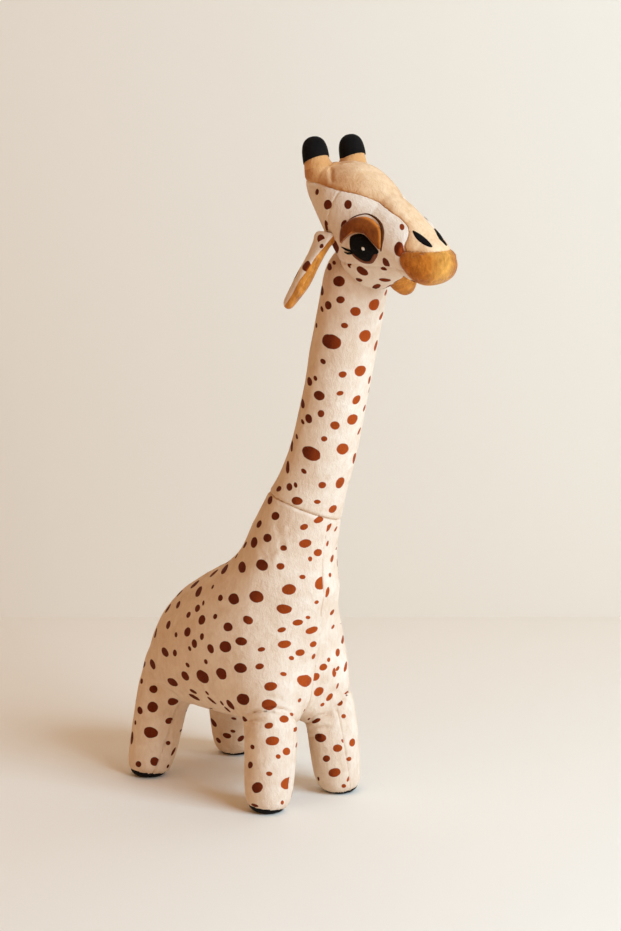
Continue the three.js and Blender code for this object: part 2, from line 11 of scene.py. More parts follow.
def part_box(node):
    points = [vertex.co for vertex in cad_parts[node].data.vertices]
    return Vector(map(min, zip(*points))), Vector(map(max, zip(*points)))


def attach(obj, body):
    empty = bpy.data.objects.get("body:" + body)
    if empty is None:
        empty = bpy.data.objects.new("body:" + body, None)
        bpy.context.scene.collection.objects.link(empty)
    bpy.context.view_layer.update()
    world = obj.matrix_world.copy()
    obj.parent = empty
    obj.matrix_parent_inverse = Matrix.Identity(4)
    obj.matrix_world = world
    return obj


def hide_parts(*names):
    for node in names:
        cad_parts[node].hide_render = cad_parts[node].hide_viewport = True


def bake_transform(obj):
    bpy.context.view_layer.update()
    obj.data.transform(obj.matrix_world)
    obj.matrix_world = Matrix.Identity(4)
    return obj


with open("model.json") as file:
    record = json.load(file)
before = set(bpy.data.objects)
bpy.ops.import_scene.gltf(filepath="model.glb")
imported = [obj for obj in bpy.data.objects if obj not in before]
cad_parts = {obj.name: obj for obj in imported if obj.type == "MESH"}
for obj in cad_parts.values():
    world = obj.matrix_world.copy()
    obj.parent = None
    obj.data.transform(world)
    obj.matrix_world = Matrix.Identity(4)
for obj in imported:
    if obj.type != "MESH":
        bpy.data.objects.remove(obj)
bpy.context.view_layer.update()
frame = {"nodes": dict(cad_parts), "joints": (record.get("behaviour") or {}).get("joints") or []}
scene = bpy.context.scene
scene.view_settings.view_transform = "Standard"
joints = {joint["name"]: joint for joint in frame["joints"]}
mm = 0.001
sharpFrom = math.radians(55)  # edges that bend more than this show as edges


def pivot(joint):
    return Vector(joints[joint]["pos_m"])


def activate(obj):
    bpy.ops.object.select_all(action="DESELECT")
    obj.select_set(True)
    bpy.context.view_layer.objects.active = obj


def joined(name, parts):
    bpy.ops.object.select_all(action="DESELECT")
    for part in parts:
        part.select_set(True)
    bpy.context.view_layer.objects.active = parts[0]
    if len(parts) > 1:
        bpy.ops.object.join()
    parts[0].name = name
    return parts[0]


def cadCopy(name, nodes):
    copies = [bpy.data.objects.new(name, frame["nodes"][node].data.copy()) for node in nodes]
    for copy in copies:
        scene.collection.objects.link(copy)
    obj = joined(name, copies[::-1])
    obj.data.materials.clear()
    bpy.ops.object.mode_set(mode="EDIT")
    bpy.ops.mesh.select_all(action="SELECT")
    bpy.ops.mesh.remove_doubles(threshold=0.01 * mm)
    bpy.ops.object.mode_set(mode="OBJECT")
    return obj


def copyOf(obj, name):
    copy = bpy.data.objects.new(name, obj.data.copy())
    scene.collection.objects.link(copy)
    return copy


def mirrored(obj, name):
    copy = copyOf(obj, name)
    copy.data.transform(Matrix.Scale(-1, 4, (0, 1, 0)))
    copy.data.flip_normals()
    copy.data.update()
    return copy


def moveBy(obj, matrix):
    obj.data.transform(matrix)
    obj.data.update()


def finishWith(obj, kind, **values):
    modifier = obj.modifiers.new(kind.lower(), kind)
    for key, value in values.items():
        setattr(modifier, key, value)
    activate(obj)
    bpy.ops.object.modifier_apply(modifier=modifier.name)


def remesh(obj, size):
    finishWith(obj, "REMESH", mode="VOXEL", voxel_size=size, use_smooth_shade=True)


def relax(obj, times):
    finishWith(obj, "SMOOTH", factor=0.5, iterations=times)


def grow(obj, way):
    finishWith(obj, "DISPLACE", strength=way, mid_level=0)


def points(obj):
    found = np.empty(len(obj.data.vertices) * 3)
    obj.data.vertices.foreach_get("co", found)
    return found.reshape(-1, 3)


def movePoints(obj, places):
    obj.data.vertices.foreach_set("co", places.ravel())
    obj.data.update()


def pointNormals(obj):
    found = np.empty(len(obj.data.vertices) * 3)
    obj.data.vertex_normals.foreach_get("vector", found)
    return found.reshape(-1, 3)


def faceCentres(obj):
    found = np.empty(len(obj.data.polygons) * 3)
    obj.data.polygons.foreach_get("center", found)
    return found.reshape(-1, 3)


def ramp(values, start, run):  # 0 up to the start, 1 once the run is over; a run below 0 goes down
    return np.clip((values - start) / run, 0, 1)


def zone(places, limits):  # how far each point lies inside limits like ("z", 105, 15): start and run in mm
    measures = {"x": places[:, 0] / mm, "side": np.abs(places[:, 1]) / mm, "z": places[:, 2] / mm}
    return np.prod([ramp(measures[key], start, run) for key, start, run in limits], axis=0)


def relaxWhere(obj, share, times):  # relax, by each point's share
    places = points(obj)
    ends = np.empty(len(obj.data.edges) * 2, int)
    obj.data.edges.foreach_get("vertices", ends)
    ends = ends.reshape(-1, 2)
    count = np.bincount(ends.ravel(), minlength=len(places))[:, None]
    for step in range(times):
        total = np.zeros_like(places)
        np.add.at(total, ends[:, 0], places[ends[:, 1]])
        np.add.at(total, ends[:, 1], places[ends[:, 0]])
        places += (total / np.maximum(count, 1) - places) * share[:, None] * 0.5
    movePoints(obj, places)


def pickFaces(obj, picked):
    activate(obj)
    bpy.context.tool_settings.mesh_select_mode = (False, False, True)
    obj.data.vertices.foreach_set("select", np.zeros(len(obj.data.vertices), bool))
    obj.data.edges.foreach_set("select", np.zeros(len(obj.data.edges), bool))
    obj.data.polygons.foreach_set("select", picked)
    bpy.ops.object.mode_set(mode="EDIT")


def cutAlong(obj, picked, place, normal):  # a row of edges where the plane meets the picked faces
    pickFaces(obj, picked)
    bpy.ops.mesh.bisect(plane_co=place, plane_no=normal, use_fill=False)
    bpy.ops.object.mode_set(mode="OBJECT")


def closeHoles(obj):
    activate(obj)
    bpy.context.tool_settings.mesh_select_mode = (True, False, False)
    bpy.ops.object.mode_set(mode="EDIT")
    bpy.ops.mesh.select_all(action="DESELECT")
    bpy.ops.mesh.select_non_manifold(extend=False)
    bpy.ops.mesh.fill_holes(sides=0)
    bpy.ops.object.mode_set(mode="OBJECT")
    bpy.ops.object.shade_smooth_by_angle(angle=sharpFrom)


def splitOff(obj, picked, name):
    pickFaces(obj, picked)
    bpy.ops.mesh.separate(type="SELECTED")
    bpy.ops.object.mode_set(mode="OBJECT")
    part = [other for other in bpy.context.selected_objects if other != obj][0]
    part.name = name
    part.data.name = name
    closeHoles(obj)
    closeHoles(part)
    return part


def cutWith(obj, block, operation):
    finishWith(obj, "BOOLEAN", operation=operation, object=block, solver="MANIFOLD")
    obj.data.materials.clear()
    bpy.ops.object.shade_smooth_by_angle(angle=sharpFrom)


def openMesh(name, corners, edges, faces):  # a new mesh, all of it picked in edit mode
    mesh = bpy.data.meshes.new(name)
    mesh.from_pydata(corners, edges, faces)
    obj = bpy.data.objects.new(name, mesh)
    scene.collection.objects.link(obj)
    activate(obj)
    bpy.ops.object.mode_set(mode="EDIT")
    bpy.ops.mesh.select_all(action="SELECT")
    return obj


def closeMesh():  # its faces look outwards
    bpy.ops.mesh.select_all(action="SELECT")
    bpy.ops.mesh.normals_make_consistent(inside=False)
    bpy.ops.object.mode_set(mode="OBJECT")


def newMesh(name, corners, faces):
    obj = openMesh(name, corners, [], faces)
    closeMesh()
    bpy.ops.object.shade_smooth()
    return obj


def turned(name, profile, steps):
    line = smoothLine(profile, 4)
    obj = openMesh(name, [(max(r, 0) * mm, 0, z * mm) for r, z in line], [(i, i + 1) for i in range(len(line) - 1)], [])
    bpy.ops.mesh.spin(steps=steps, angle=2 * math.pi, center=(0, 0, 0), axis=(0, 0, 1))
    bpy.ops.mesh.select_all(action="SELECT")
    bpy.ops.mesh.remove_doubles(threshold=0.05 * mm)
    closeMesh()
    bpy.ops.object.shade_smooth()
    return obj


def sideBlock(name, outline, half):  # a block with this outline in the side view, for cutting
    block = openMesh(name, [(x, -half, z) for x, z in outline], [], [list(range(len(outline)))])
    bpy.ops.mesh.extrude_region_move(TRANSFORM_OT_translate={"value": (0, 2 * half, 0)})
    closeMesh()
    return block


air = {"steps": 20, "quality": 4}


def puff(obj, pressure, cap):  # air in the cover, until it stands full
    start = points(obj)
    cloth = obj.modifiers.new("cloth", "CLOTH")
    cloth.settings.use_pressure = True
    cloth.settings.uniform_pressure_force = pressure
    cloth.settings.effector_weights.gravity = 0
    cloth.settings.quality = air["quality"]
    cloth.collision_settings.use_collision = False
    cloth.point_cache.frame_end = air["steps"]
    for step in range(1, air["steps"] + 1):
        scene.frame_set(step)
    activate(obj)
    bpy.ops.object.modifier_apply(modifier=cloth.name)
    way = points(obj) - start
    far = np.linalg.norm(way, axis=1, keepdims=True)
    movePoints(obj, start + way * np.minimum(1, cap / np.maximum(far, 1e-9)))
    scene.frame_set(1)
    print("puffed", obj.name, "by up to", round(float(far.max()) * 1000, 1), "mm")


def fillOut(obj, form):  # one even cover: swollen over the gaps, smoothed, brought back to full size and puffed
    remesh(obj, form["voxel"])
    for way, times in zip((form["fill"], form["full"] - form["fill"]), form["relax"]):
        grow(obj, way)
        remesh(obj, form["voxel"])
        relax(obj, times)
    if "pressure" in form:
        puff(obj, form["pressure"], form["cap"])
    finishWith(obj, "SUBSURF", levels=1, render_levels=1)


def pressSeam(obj, away, depth, width):  # away is each point's distance from the seam
    movePoints(obj, points(obj) - pointNormals(obj) * (depth * np.exp(-(away / width) ** 2))[:, None])


def above(places, place, way):
    return (places - np.array(place)) @ np.array(way)


def fitPlane(places):  # the plane nearest to these points, facing up
    places = np.array(places)
    middle = places.mean(axis=0)
    way = np.linalg.svd(places - middle)[2][2]
    return Vector(middle), Vector(way * np.sign(way[2]))


def surfaceOf(obj):
    return BVHTree.FromPolygons([v.co for v in obj.data.vertices], [p.vertices[:] for p in obj.data.polygons])


# the photograph's camera
photo = {"width": 621, "height": 931, "focal": 2700, "sensor": 36, "place": (2.0376, -1.83697, 0.881),
         "pitch": 10.827, "heading": 47.542}

bpy.ops.object.camera_add(location=photo["place"],
                          rotation=(math.radians(90 - photo["pitch"]), 0, math.radians(photo["heading"])))
camera = bpy.context.object
camera.data.lens = photo["focal"] / photo["height"] * photo["sensor"]
scene.camera = camera
bpy.context.view_layer.update()


def pixelRay(across, down):
    right, up = across - photo["width"] / 2, photo["height"] / 2 - down
    way = Vector((right / photo["focal"], up / photo["focal"], -1))
    return (camera.matrix_world.to_3x3() @ way).normalized()


def seenOn(surface, line):  # where the photograph's line lies on a surface
    hits = [surface.ray_cast(camera.location, pixelRay(*spot))[0] for spot in line]
    return np.array([hit for hit in hits if hit])


def smoothLine(corners, steps, closed=False):  # a soft line through the corners
    corners = [np.array(c, float) for c in corners]
    count = len(corners)
    line = []
    for i in range(count if closed else count - 1):
        around = [i + k for k in (-1, 0, 1, 2)]
        before, a, b, after = [corners[k % count if closed else min(max(k, 0), count - 1)] for k in around]
        for t in np.arange(steps) / steps:
            line.append(0.5 * (2 * a + (b - before) * t + (2 * before - 5 * a + 4 * b - after) * t ** 2
                               + (3 * a - before - 3 * b + after) * t ** 3))
    if not closed:
        line.append(corners[-1])
    return np.array(line)


def pressFold(obj, track, depth, width, fading=5):  # a crease along a line in space, its ends fading over a fifth
    places = points(obj)
    low, high = track.min(axis=0) - 4 * width, track.max(axis=0) + 4 * width
    near = np.flatnonzero(np.all((places > low) & (places < high), axis=1))
    best = np.full(len(near), 1.0)
    fade = np.zeros(len(near))
    count = len(track) - 1
    for i, (a, b) in enumerate(zip(track[:-1], track[1:])):
        way = b - a
        share = np.clip((places[near] - a) @ way / max(way @ way, 1e-12), 0, 1)
        away = np.linalg.norm(places[near] - a - share[:, None] * way, axis=1)
        along = (i + share) / count
        fade = np.where(away < best, np.clip(np.minimum(along, 1 - along) * fading, 0, 1), fade)
        best = np.minimum(best, away)
    places[near] -= pointNormals(obj)[near] * (depth * fade * np.exp(-(best / width) ** 2))[:, None]
    movePoints(obj, places)


# colours are written as they look on screen
def colour(red, green, blue):
    return [((c / 255 + 0.055) / 1.055) ** 2.4 if c > 10 else c / 255 / 12.92 for c in (red, green, blue)] + [1]


def newNode(tree, kind, values=None, **settings):
    node = tree.nodes.new(kind)
    for key, value in settings.items():
        setattr(node, key, value)
    for key, value in (values or {}).items():
        node.inputs[key].default_value = value
    return node


def newMix(tree, values=None, **settings):
    return newNode(tree, "ShaderNodeMix", values, data_type="RGBA", **settings)


def wire(tree, *links):  # each link is a node, its output, the next node and its input
    for source, output, target, socket in links:
        tree.links.new(source.outputs[output], target.inputs[socket])


def valueGroup(name, inputs, outputs):
    group = bpy.data.node_groups.new(name, "ShaderNodeTree")
    for way, labels in (("INPUT", inputs), ("OUTPUT", outputs)):
        for label in labels:
            group.interface.new_socket(label, in_out=way, socket_type="NodeSocketFloat")
    return group, group.nodes.new("NodeGroupInput"), group.nodes.new("NodeGroupOutput")


# short pile: fine hairs that lie downwards, clumps of them, and patches brushed one way or the other
pileForm = {"lie": {"Scale": (1, 1, 0.55), "Rotation": (0.3, 0.35, 0)}, "hairs": {"Detail": 3, "Roughness": 0.65},
            "clumps": {"Detail": 3, "Roughness": 0.6, "Distortion": 0.4}, "brushed": {"Detail": 2, "Distortion": 0.6},
            "brushedHeight": 1.5, "clumpHeight": 1.3, "brushedTone": 0.5, "clumpTone": 0.4, "leastTone": 0.05}


def makePile():
    group, given, out = valueGroup("pile", ["Fineness", "Clumps", "Patches"], ["Height", "Tone"])
    place = newNode(group, "ShaderNodeTexCoord")
    lie = newNode(group, "ShaderNodeMapping", pileForm["lie"])
    hairs, clumps, brushed = (newNode(group, "ShaderNodeTexNoise", pileForm[key])
                              for key in ("hairs", "clumps", "brushed"))
    soft, deep, blend, tone = (newNode(group, "ShaderNodeMath", {1: pileForm[key]}, operation="MULTIPLY_ADD")
                               for key in ("brushedHeight", "clumpHeight", "brushedTone", "clumpTone"))
    blend.inputs[2].default_value = pileForm["leastTone"]
    wire(group, (place, "Object", lie, "Vector"), (lie, "Vector", hairs, "Vector"), (lie, "Vector", clumps, "Vector"),
         (place, "Object", brushed, "Vector"), (given, "Fineness", hairs, "Scale"), (given, "Clumps", clumps, "Scale"),
         (given, "Patches", brushed, "Scale"))
    wire(group, (brushed, "Fac", soft, 0), (hairs, "Fac", soft, 2), (clumps, "Fac", deep, 0), (soft, "Value", deep, 2),
         (brushed, "Fac", blend, 0), (clumps, "Fac", tone, 0), (blend, "Value", tone, 2))
    wire(group, (deep, "Value", out, "Height"), (tone, "Value", out, "Tone"))
    return group


pile = makePile()


def plush(name, light, dark, pileDepth, fineness, clumps, patches, sheen, contrast=0.4, flank=None):
    material = bpy.data.materials.new(name)
    material.use_nodes = True
    tree = material.node_tree
    shader = tree.nodes["Principled BSDF"]
    grain = newNode(tree, "ShaderNodeGroup", {"Fineness": fineness, "Clumps": clumps, "Patches": patches},
                    node_tree=pile)
    spread = newNode(tree, "ShaderNodeMapRange", {"From Min": 0.5 - contrast / 2, "From Max": 0.5 + contrast / 2})
    tone = newMix(tree, {"A": colour(*dark), "B": colour(*light)})
    bump = newNode(tree, "ShaderNodeBump", {"Strength": 0.8, "Distance": pileDepth})
    wire(tree, (grain, "Tone", spread, "Value"), (spread, "Result", tone, "Factor"),
         (tone, "Result", shader, "Base Color"), (grain, "Height", bump, "Height"), (bump, "Normal", shader, "Normal"))
    shader.inputs["Roughness"].default_value = 0.9
    shader.inputs["Specular IOR Level"].default_value = 0.1
    shader.inputs["Sheen Weight"].default_value = sheen
    shader.inputs["Sheen Roughness"].default_value = 0.4
    shader.inputs["Sheen Tint"].default_value = colour(255, 246, 236)
    if flank:
        paintShadeOnFlanks(tree, tone, shader, flank)
    return material, tone, grain


def paintShadeOnFlanks(tree, tone, shader, flank):  # painted shade: darker, warmer colour on the flanks than along the middle of the face
    place = newNode(tree, "ShaderNodeTexCoord")
    facing = newNode(tree, "ShaderNodeSeparateXYZ")
    outward = newNode(tree, "ShaderNodeMath", operation="ABSOLUTE")
    turn = newNode(tree, "ShaderNodeMapRange", {"From Min": flank["from"], "From Max": flank["to"]})
    tint = newMix(tree, {"A": (1, 1, 1, 1), "B": (*flank["tint"], 1)})
    paintedFlankColour = newMix(tree, {"Factor": 1}, blend_type="MULTIPLY")
    wire(tree, (place, "Normal", facing, "Vector"), (facing, "Y", outward, 0), (outward, "Value", turn, "Value"),
         (turn, "Result", tint, "Factor"), (tone, "Result", paintedFlankColour, "A"), (tint, "Result", paintedFlankColour, "B"),
         (paintedFlankColour, "Result", shader, "Base Color"))
    if "horns" in flank:  # and painted shade darkens the middle towards the back, between the horns
        horns = flank["horns"]
        along = newNode(tree, "ShaderNodeSeparateXYZ")
        ahead = newNode(tree, "ShaderNodeMapRange", {"From Min": horns["from"], "From Max": horns["to"]})
        paintedShadeBehind = newMix(tree, {"A": (*horns["tint"], 1), "B": (1, 1, 1, 1)})
        wire(tree, (place, "Object", along, "Vector"), (along, "X", ahead, "Value"), (ahead, "Result", paintedShadeBehind, "Factor"),
             (paintedShadeBehind, "Result", tint, "A"))


# printed plush: the spots lie in the map named spots, each with its edge at 1 from its middle
# painted light and shade: cloth and spots are painted lighter where the surface faces forward, towards the lamp, darker
# on the sides, and darker on the rear legs
# dark and light: the spot dye's painted shaded brown and painted lit orange
printForm = {"dark": (84, 27, 7), "light": (186, 80, 27), "dyeToneAndPaintedLight": 0.5, "wobble": 0.34,
             "wobbles": {"Scale": 110, "Detail": 2}, "edge": {"From Min": 1.2, "From Max": 1.12},
             "ahead": {"From Min": -0.12, "From Max": 0, "To Min": 0.25, "To Max": 1},
             "forward": {"From Min": -0.15, "From Max": 0.95},
             "bright": {"From Min": 0.35, "From Max": 1, "To Min": -0.15, "To Max": 0.62}}


def makePrinted(name, light, dark, paintedSideShade, paintedFrontLight):
    material, ground, grain = plush(name, light, dark, pileDepth=0.8 * mm, fineness=800, clumps=240, patches=46,
                                    sheen=0.03, contrast=0.5)
    tree = material.node_tree
    lay = newNode(tree, "ShaderNodeUVMap", uv_map="spots")
    reach = newNode(tree, "ShaderNodeVectorMath", operation="LENGTH")
    place = newNode(tree, "ShaderNodeTexCoord")
    wobble = newNode(tree, "ShaderNodeTexNoise", printForm["wobbles"])
    edge = newNode(tree, "ShaderNodeMath", {1: printForm["wobble"]}, operation="MULTIPLY_ADD")
    mask = newNode(tree, "ShaderNodeMapRange", printForm["edge"], interpolation_type="SMOOTHSTEP")
    dye = newMix(tree, {"A": colour(*printForm["dark"]), "B": colour(*printForm["light"])})
    # painted light: how far the surface faces forward, cut down on the rear legs, sets the painted light on cream and
    # dye
    facing = newNode(tree, "ShaderNodeSeparateXYZ")
    along = newNode(tree, "ShaderNodeSeparateXYZ")
    ahead, forward, bright = (newNode(tree, "ShaderNodeMapRange", printForm[key])
                              for key in ("ahead", "forward", "bright"))
    faced = newNode(tree, "ShaderNodeMath", operation="MULTIPLY")
    # the dye's colour: the pile's random tone plus painted light by facing
    dyeToneAndPaintedLight = newNode(tree, "ShaderNodeMath", {1: printForm["dyeToneAndPaintedLight"]}, operation="MULTIPLY_ADD", use_clamp=True)
    tint = newMix(tree, {"A": (*paintedSideShade, 1), "B": (*paintedFrontLight, 1)})
    cream = newMix(tree, {"Factor": 1}, blend_type="MULTIPLY")
    printed = newMix(tree)
    wire(tree, (lay, "UV", reach, 0), (place, "Object", wobble, "Vector"), (wobble, "Fac", edge, 0),
         (reach, "Value", edge, 2), (edge, "Value", mask, "Value"), (mask, "Result", printed, "Factor"))
    wire(tree, (place, "Normal", facing, "Vector"), (place, "Object", along, "Vector"), (along, "X", ahead, "Value"),
         (facing, "X", faced, 0), (ahead, "Result", faced, 1), (faced, "Value", forward, "Value"),
         (faced, "Value", bright, "Value"))
    wire(tree, (grain, "Tone", dyeToneAndPaintedLight, 0), (bright, "Result", dyeToneAndPaintedLight, 2), (dyeToneAndPaintedLight, "Value", dye, "Factor"),
         (dye, "Result", printed, "B"))
    wire(tree, (forward, "Result", tint, "Factor"), (ground, "Result", cream, "A"), (tint, "Result", cream, "B"),
         (cream, "Result", printed, "A"), (printed, "Result", tree.nodes["Principled BSDF"], "Base Color"))
    return material


# side and front tints: painted shade on the sides, painted light on the front; milder on the face
printedPlush = makePrinted("printedPlush", light=(247, 230, 213), dark=(221, 189, 160), paintedSideShade=(0.95, 0.87, 0.75),
                           paintedFrontLight=(1.06, 1.09, 1.12))
printedFace = makePrinted("printedFace", light=(247, 233, 219), dark=(228, 203, 180), paintedSideShade=(1, 0.96, 0.9),
                          paintedFrontLight=(0.98, 0.98, 0.98))
# flank: painted shade on the forehead's sides and towards the back between the horns
foreheadPlush = plush("foreheadPlush", light=(253, 221, 183), dark=(226, 179, 130), pileDepth=1.1 * mm, fineness=560,
                      clumps=150, patches=55, sheen=0.15,
                      flank={"from": 0.27, "to": 0.95, "tint": (0.68, 0.46, 0.28),
                             "horns": {"from": 78 * mm, "to": 100 * mm, "tint": (0.84, 0.66, 0.46)}})[0]
hornPlush = plush("hornPlush", light=(229, 174, 116), dark=(207, 146, 90), pileDepth=1 * mm, fineness=560, clumps=170,
                  patches=60, sheen=0.15)[0]
# flank: painted shade on the muzzle's sides
muzzlePlush = plush("muzzlePlush", light=(251, 180, 86), dark=(160, 98, 34), pileDepth=1.3 * mm, fineness=480,
                    clumps=260, patches=90, sheen=0.3, contrast=0.42,
                    flank={"from": 0.05, "to": 0.5, "tint": (0.7, 0.47, 0.26)})[0]
caramelPlush = plush("caramelPlush", light=(232, 152, 64), dark=(150, 82, 24), pileDepth=1.1 * mm, fineness=480,
                     clumps=260, patches=90, sheen=0.3, contrast=0.42)[0]
blackPlush = plush("blackPlush", light=(26, 22, 20), dark=(12, 10, 9), pileDepth=0.5 * mm, fineness=900, clumps=260,
                   patches=60, sheen=0.03)[0]
blackPatch = plush("blackPatch", light=(20, 17, 16), dark=(10, 8, 8), pileDepth=0.25 * mm, fineness=1500, clumps=400,
                   patches=80, sheen=0.02)[0]
# flank: painted shade on the lid's sides
lidPlush = plush("lidPlush", light=(216, 128, 48), dark=(150, 78, 24), pileDepth=0.6 * mm, fineness=900, clumps=260,
                 patches=70, sheen=0.15, flank={"from": 0.28, "to": 0.58, "tint": (0.42, 0.34, 0.32)})[0]
threadPile = {"fineness": 1400, "clumps": 400, "patches": 90}
lowerThread = plush("lowerThread", light=(134, 82, 60), dark=(112, 66, 46), pileDepth=0.3 * mm, sheen=0.1,
                    **threadPile)[0]
lidThread = plush("lidThread", light=(104, 58, 26), dark=(78, 42, 18), pileDepth=0.3 * mm, sheen=0.1, **threadPile)[0]
glintThread = plush("glintThread", light=(246, 240, 232), dark=(228, 220, 210), pileDepth=0.1 * mm, sheen=0,
                    **threadPile)[0]
print("materials", len(bpy.data.materials))


# one skin over body, legs and neck, later parted at its seams
# trims: height and what comes off the front and the back there in mm, read against the photograph's outline
skinForm = {"voxel": 4 * mm, "fill": 7 * mm, "full": 2.2 * mm, "relax": (10, 8), "pressure": 4, "cap": 2 * mm,
            "frontTrim": [(142, 0), (160, 0.6), (228, 0.8), (248, 4.6), (271, 6.6), (300, 4.4), (318, 3.4), (349, 1),
                          (380, 1.5), (432, 3), (484, 2.4), (535, 2.2)],
            "backTrim": [(105, 0), (118, 0), (130, 3), (141, 7.5), (160, 8), (186, 5.4), (205, 5), (225, 2.4),
                         (238, -1), (257, -0.7), (274, -2), (296, -1.8), (318, 0.8), (349, 4.8), (380, 5.9),
                         (432, 2.7), (484, 0.3), (535, 0.9)],
            "outlineWay": 0.675, "mostTrim": 1.2, "backFrom": -60 * mm, "legsUnder": 135 * mm,
            "tailUnder": 250 * mm, "tailSide": 0.6, "tailLeast": 0.1,
            "legsFrom": -70 * mm, "frontLegs": 2.8 * mm, "frontDrop": (115, -40), "rearLegs": 3.6 * mm,
            "rearDrop": (115, -100), "floor": 0.2 * mm, "settle": 2, "belly": 4.5 * mm,
            "bellyAt": [("side", 32, -14), ("x", -25, 30), ("z", 125, -25), ("z", 60, 20)],
            "rumpAt": [("x", -110, -30), ("z", 105, 15), ("z", 215, -20)],
            "chestAt": [("side", 52, 10), ("x", -20, 20), ("z", 85, 12), ("z", 150, -15)], "runIn": 30}

skinNodes = [node for node in frame["nodes"]
             if node.startswith(("body_", "neck_")) or "_leg_" in node or node.endswith("_sole")]
skin = cadCopy("skin", skinNodes)
fillOut(skin, skinForm)
places, ways = points(skin), pointNormals(skin)
front, back = (np.interp(places[:, 2] / mm, *np.array(skinForm[key]).T) for key in ("frontTrim", "backTrim"))
back[(places[:, 0] > skinForm["backFrom"]) & (places[:, 2] < skinForm["legsUnder"])] = 0
besideTail = np.clip(np.abs(ways[:, 1]) / skinForm["tailSide"] + skinForm["tailLeast"], 0, 1)
back *= np.where(places[:, 2] < skinForm["tailUnder"], besideTail, 1)
forward, backward = (np.clip(way / skinForm["outlineWay"], 0, skinForm["mostTrim"])
                     for way in (ways[:, 0], -ways[:, 0]))
places -= ways * (forward * front + backward * back)[:, None] * mm
ahead = places[:, 0] > skinForm["legsFrom"]  # the front legs stand further forward, the rear legs further apart
frontDrop, rearDrop = (ramp(places[:, 2] / mm, *skinForm[key]) for key in ("frontDrop", "rearDrop"))
places[:, 0] += np.where(ahead, frontDrop, 0) * skinForm["frontLegs"]
places[:, 1] += np.where(ahead, 0, rearDrop) * np.sign(places[:, 1]) * skinForm["rearLegs"]
places[:, 2] -= zone(places, skinForm["bellyAt"]) * skinForm["belly"]  # it hangs a little between the front legs
places[:, 2] = np.maximum(places[:, 2], skinForm["floor"])
movePoints(skin, places)
relax(skin, skinForm["settle"])
places = points(skin)
for key in ("rumpAt", "chestAt"):  # the rump runs smoothly into the thighs, the chest into the front legs
    relaxWhere(skin, zone(places, skinForm[key]), skinForm["runIn"])
print("skin", len(skin.data.polygons), "faces")

# seams of the body: ring at the neck's foot, middle seam, a tilted cut at each leg and a panel seam down it
# lines are pixels of the photograph, press is depth and width in mm of each seam's hollow and of its stitches
seams = {"ring": [(273, 496.5), (280, 500), (295, 509), (310, 514.5), (325, 517), (339, 521.3)],
         "ringBack": 75 * mm, "ringNear": 20 * mm,
         "frontNear": [(248, 713.3), (256, 711.6), (268, 709.9), (276.5, 709.9), (288, 711.6)],
         "frontFar": [(309, 722.3), (314.6, 719), (322, 716.1), (332.8, 714)],
         "frontPanel": [(338.6, 715.7), (349.8, 781)], "frontSide": 1,
         "rearPanel": [(176.4, 709.8), (157, 766)], "rearSide": -1,
         "legInner": 84 * mm, "legInnerAt": 14 * mm, "legSlope": 0.45, "legReach": 46 * mm, "legOver": 45 * mm,
         "legApart": 4 * mm, "legOutside": (70, -14), "soleInner": 1.5 * mm, "soleOuter": 8 * mm, "soleNear": 30 * mm,
         "press": {"ring": [(1.3, 1.6), (1.1, 0.1)], "middle": [(0.5, 1.1), (0.5, 0.1)], "sole": [(0.7, 1.5)],
                   "frontTop": [(1.5, 3), (0.6, 0.1)], "rearTop": [(0.9, 3)],
                   "frontPanel": [(0.4, 1), (0.5, 0.1)], "rearPanel": [(0.4, 1), (1.2, 0.1)]}}
legNames = ["front_right", "front_left", "rear_right", "rear_left"]
skinSurface = surfaceOf(skin)
ring, ringWay = fitPlane(seenOn(skinSurface, smoothLine(seams["ring"], 4)))
frontTop, frontWay = fitPlane(np.vstack([seenOn(skinSurface, seams["frontNear"]),
                                         seenOn(skinSurface, seams["frontFar"]) * (1, -1, 1)]))
print("ring", [round(v, 3) for v in (*ring, *ringWay)], "front legs", [round(v, 3) for v in (*frontTop, *frontWay)])
legs = {}
for leg in legNames:
    end = leg.split("_")[0]
    side = -1 if "right" in leg else 1
    hip = pivot(leg + "_leg_swing")
    low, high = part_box(leg + "_sole")
    foot = (low + high) / 2
    if end == "front":
        foot.x += skinForm["frontLegs"]
        top = Vector((frontTop.x, -side * frontTop.y, frontTop.z))
        topWay = Vector((frontWay.x, -side * frontWay.y, frontWay.z))
    else:
        foot.y += math.copysign(skinForm["rearLegs"], foot.y)
        top = Vector((hip.x, side * seams["legInnerAt"], seams["legInner"]))
        topWay = Vector((0, -side * seams["legSlope"], 1)).normalized()
    bottom = Vector((foot.x, foot.y, (seams["soleInner"] + seams["soleOuter"]) / 2))
    bottomWay = Vector((0, -side * (seams["soleOuter"] - seams["soleInner"]) / (high.y - low.y), 1)).normalized()
    line = seenOn(skinSurface, seams[end + "Panel"]) * (1, side * seams[end + "Side"], 1)
    panel = Vector(line.mean(axis=0))
    axis = hip + (foot - hip) * ((hip.z - panel.z) / (hip.z - foot.z))
    lean = Vector(line[1] - line[0]).cross(panel - axis).normalized()  # across the leg, from panel to panel
    lean *= math.copysign(1, lean.y)
    legs[leg] = {"end": end, "side": side, "hip": hip, "foot": foot, "top": top, "topWay": topWay, "bottom": bottom,
                 "bottomWay": bottomWay, "panel": panel, "lean": lean}


def nearLeg(leg, places):
    hip, foot, side = (legs[leg][key] for key in ("hip", "foot", "side"))
    share = np.clip((hip.z - places[:, 2]) / hip.z, 0, 1)
    away = np.hypot(places[:, 0] - hip.x - (foot.x - hip.x) * share, places[:, 1] - hip.y - (foot.y - hip.y) * share)
    beside = (places[:, 1] * side > seams["legApart"]) & (places[:, 2] < hip.z + seams["legOver"])
    return (away < seams["legReach"]) & beside


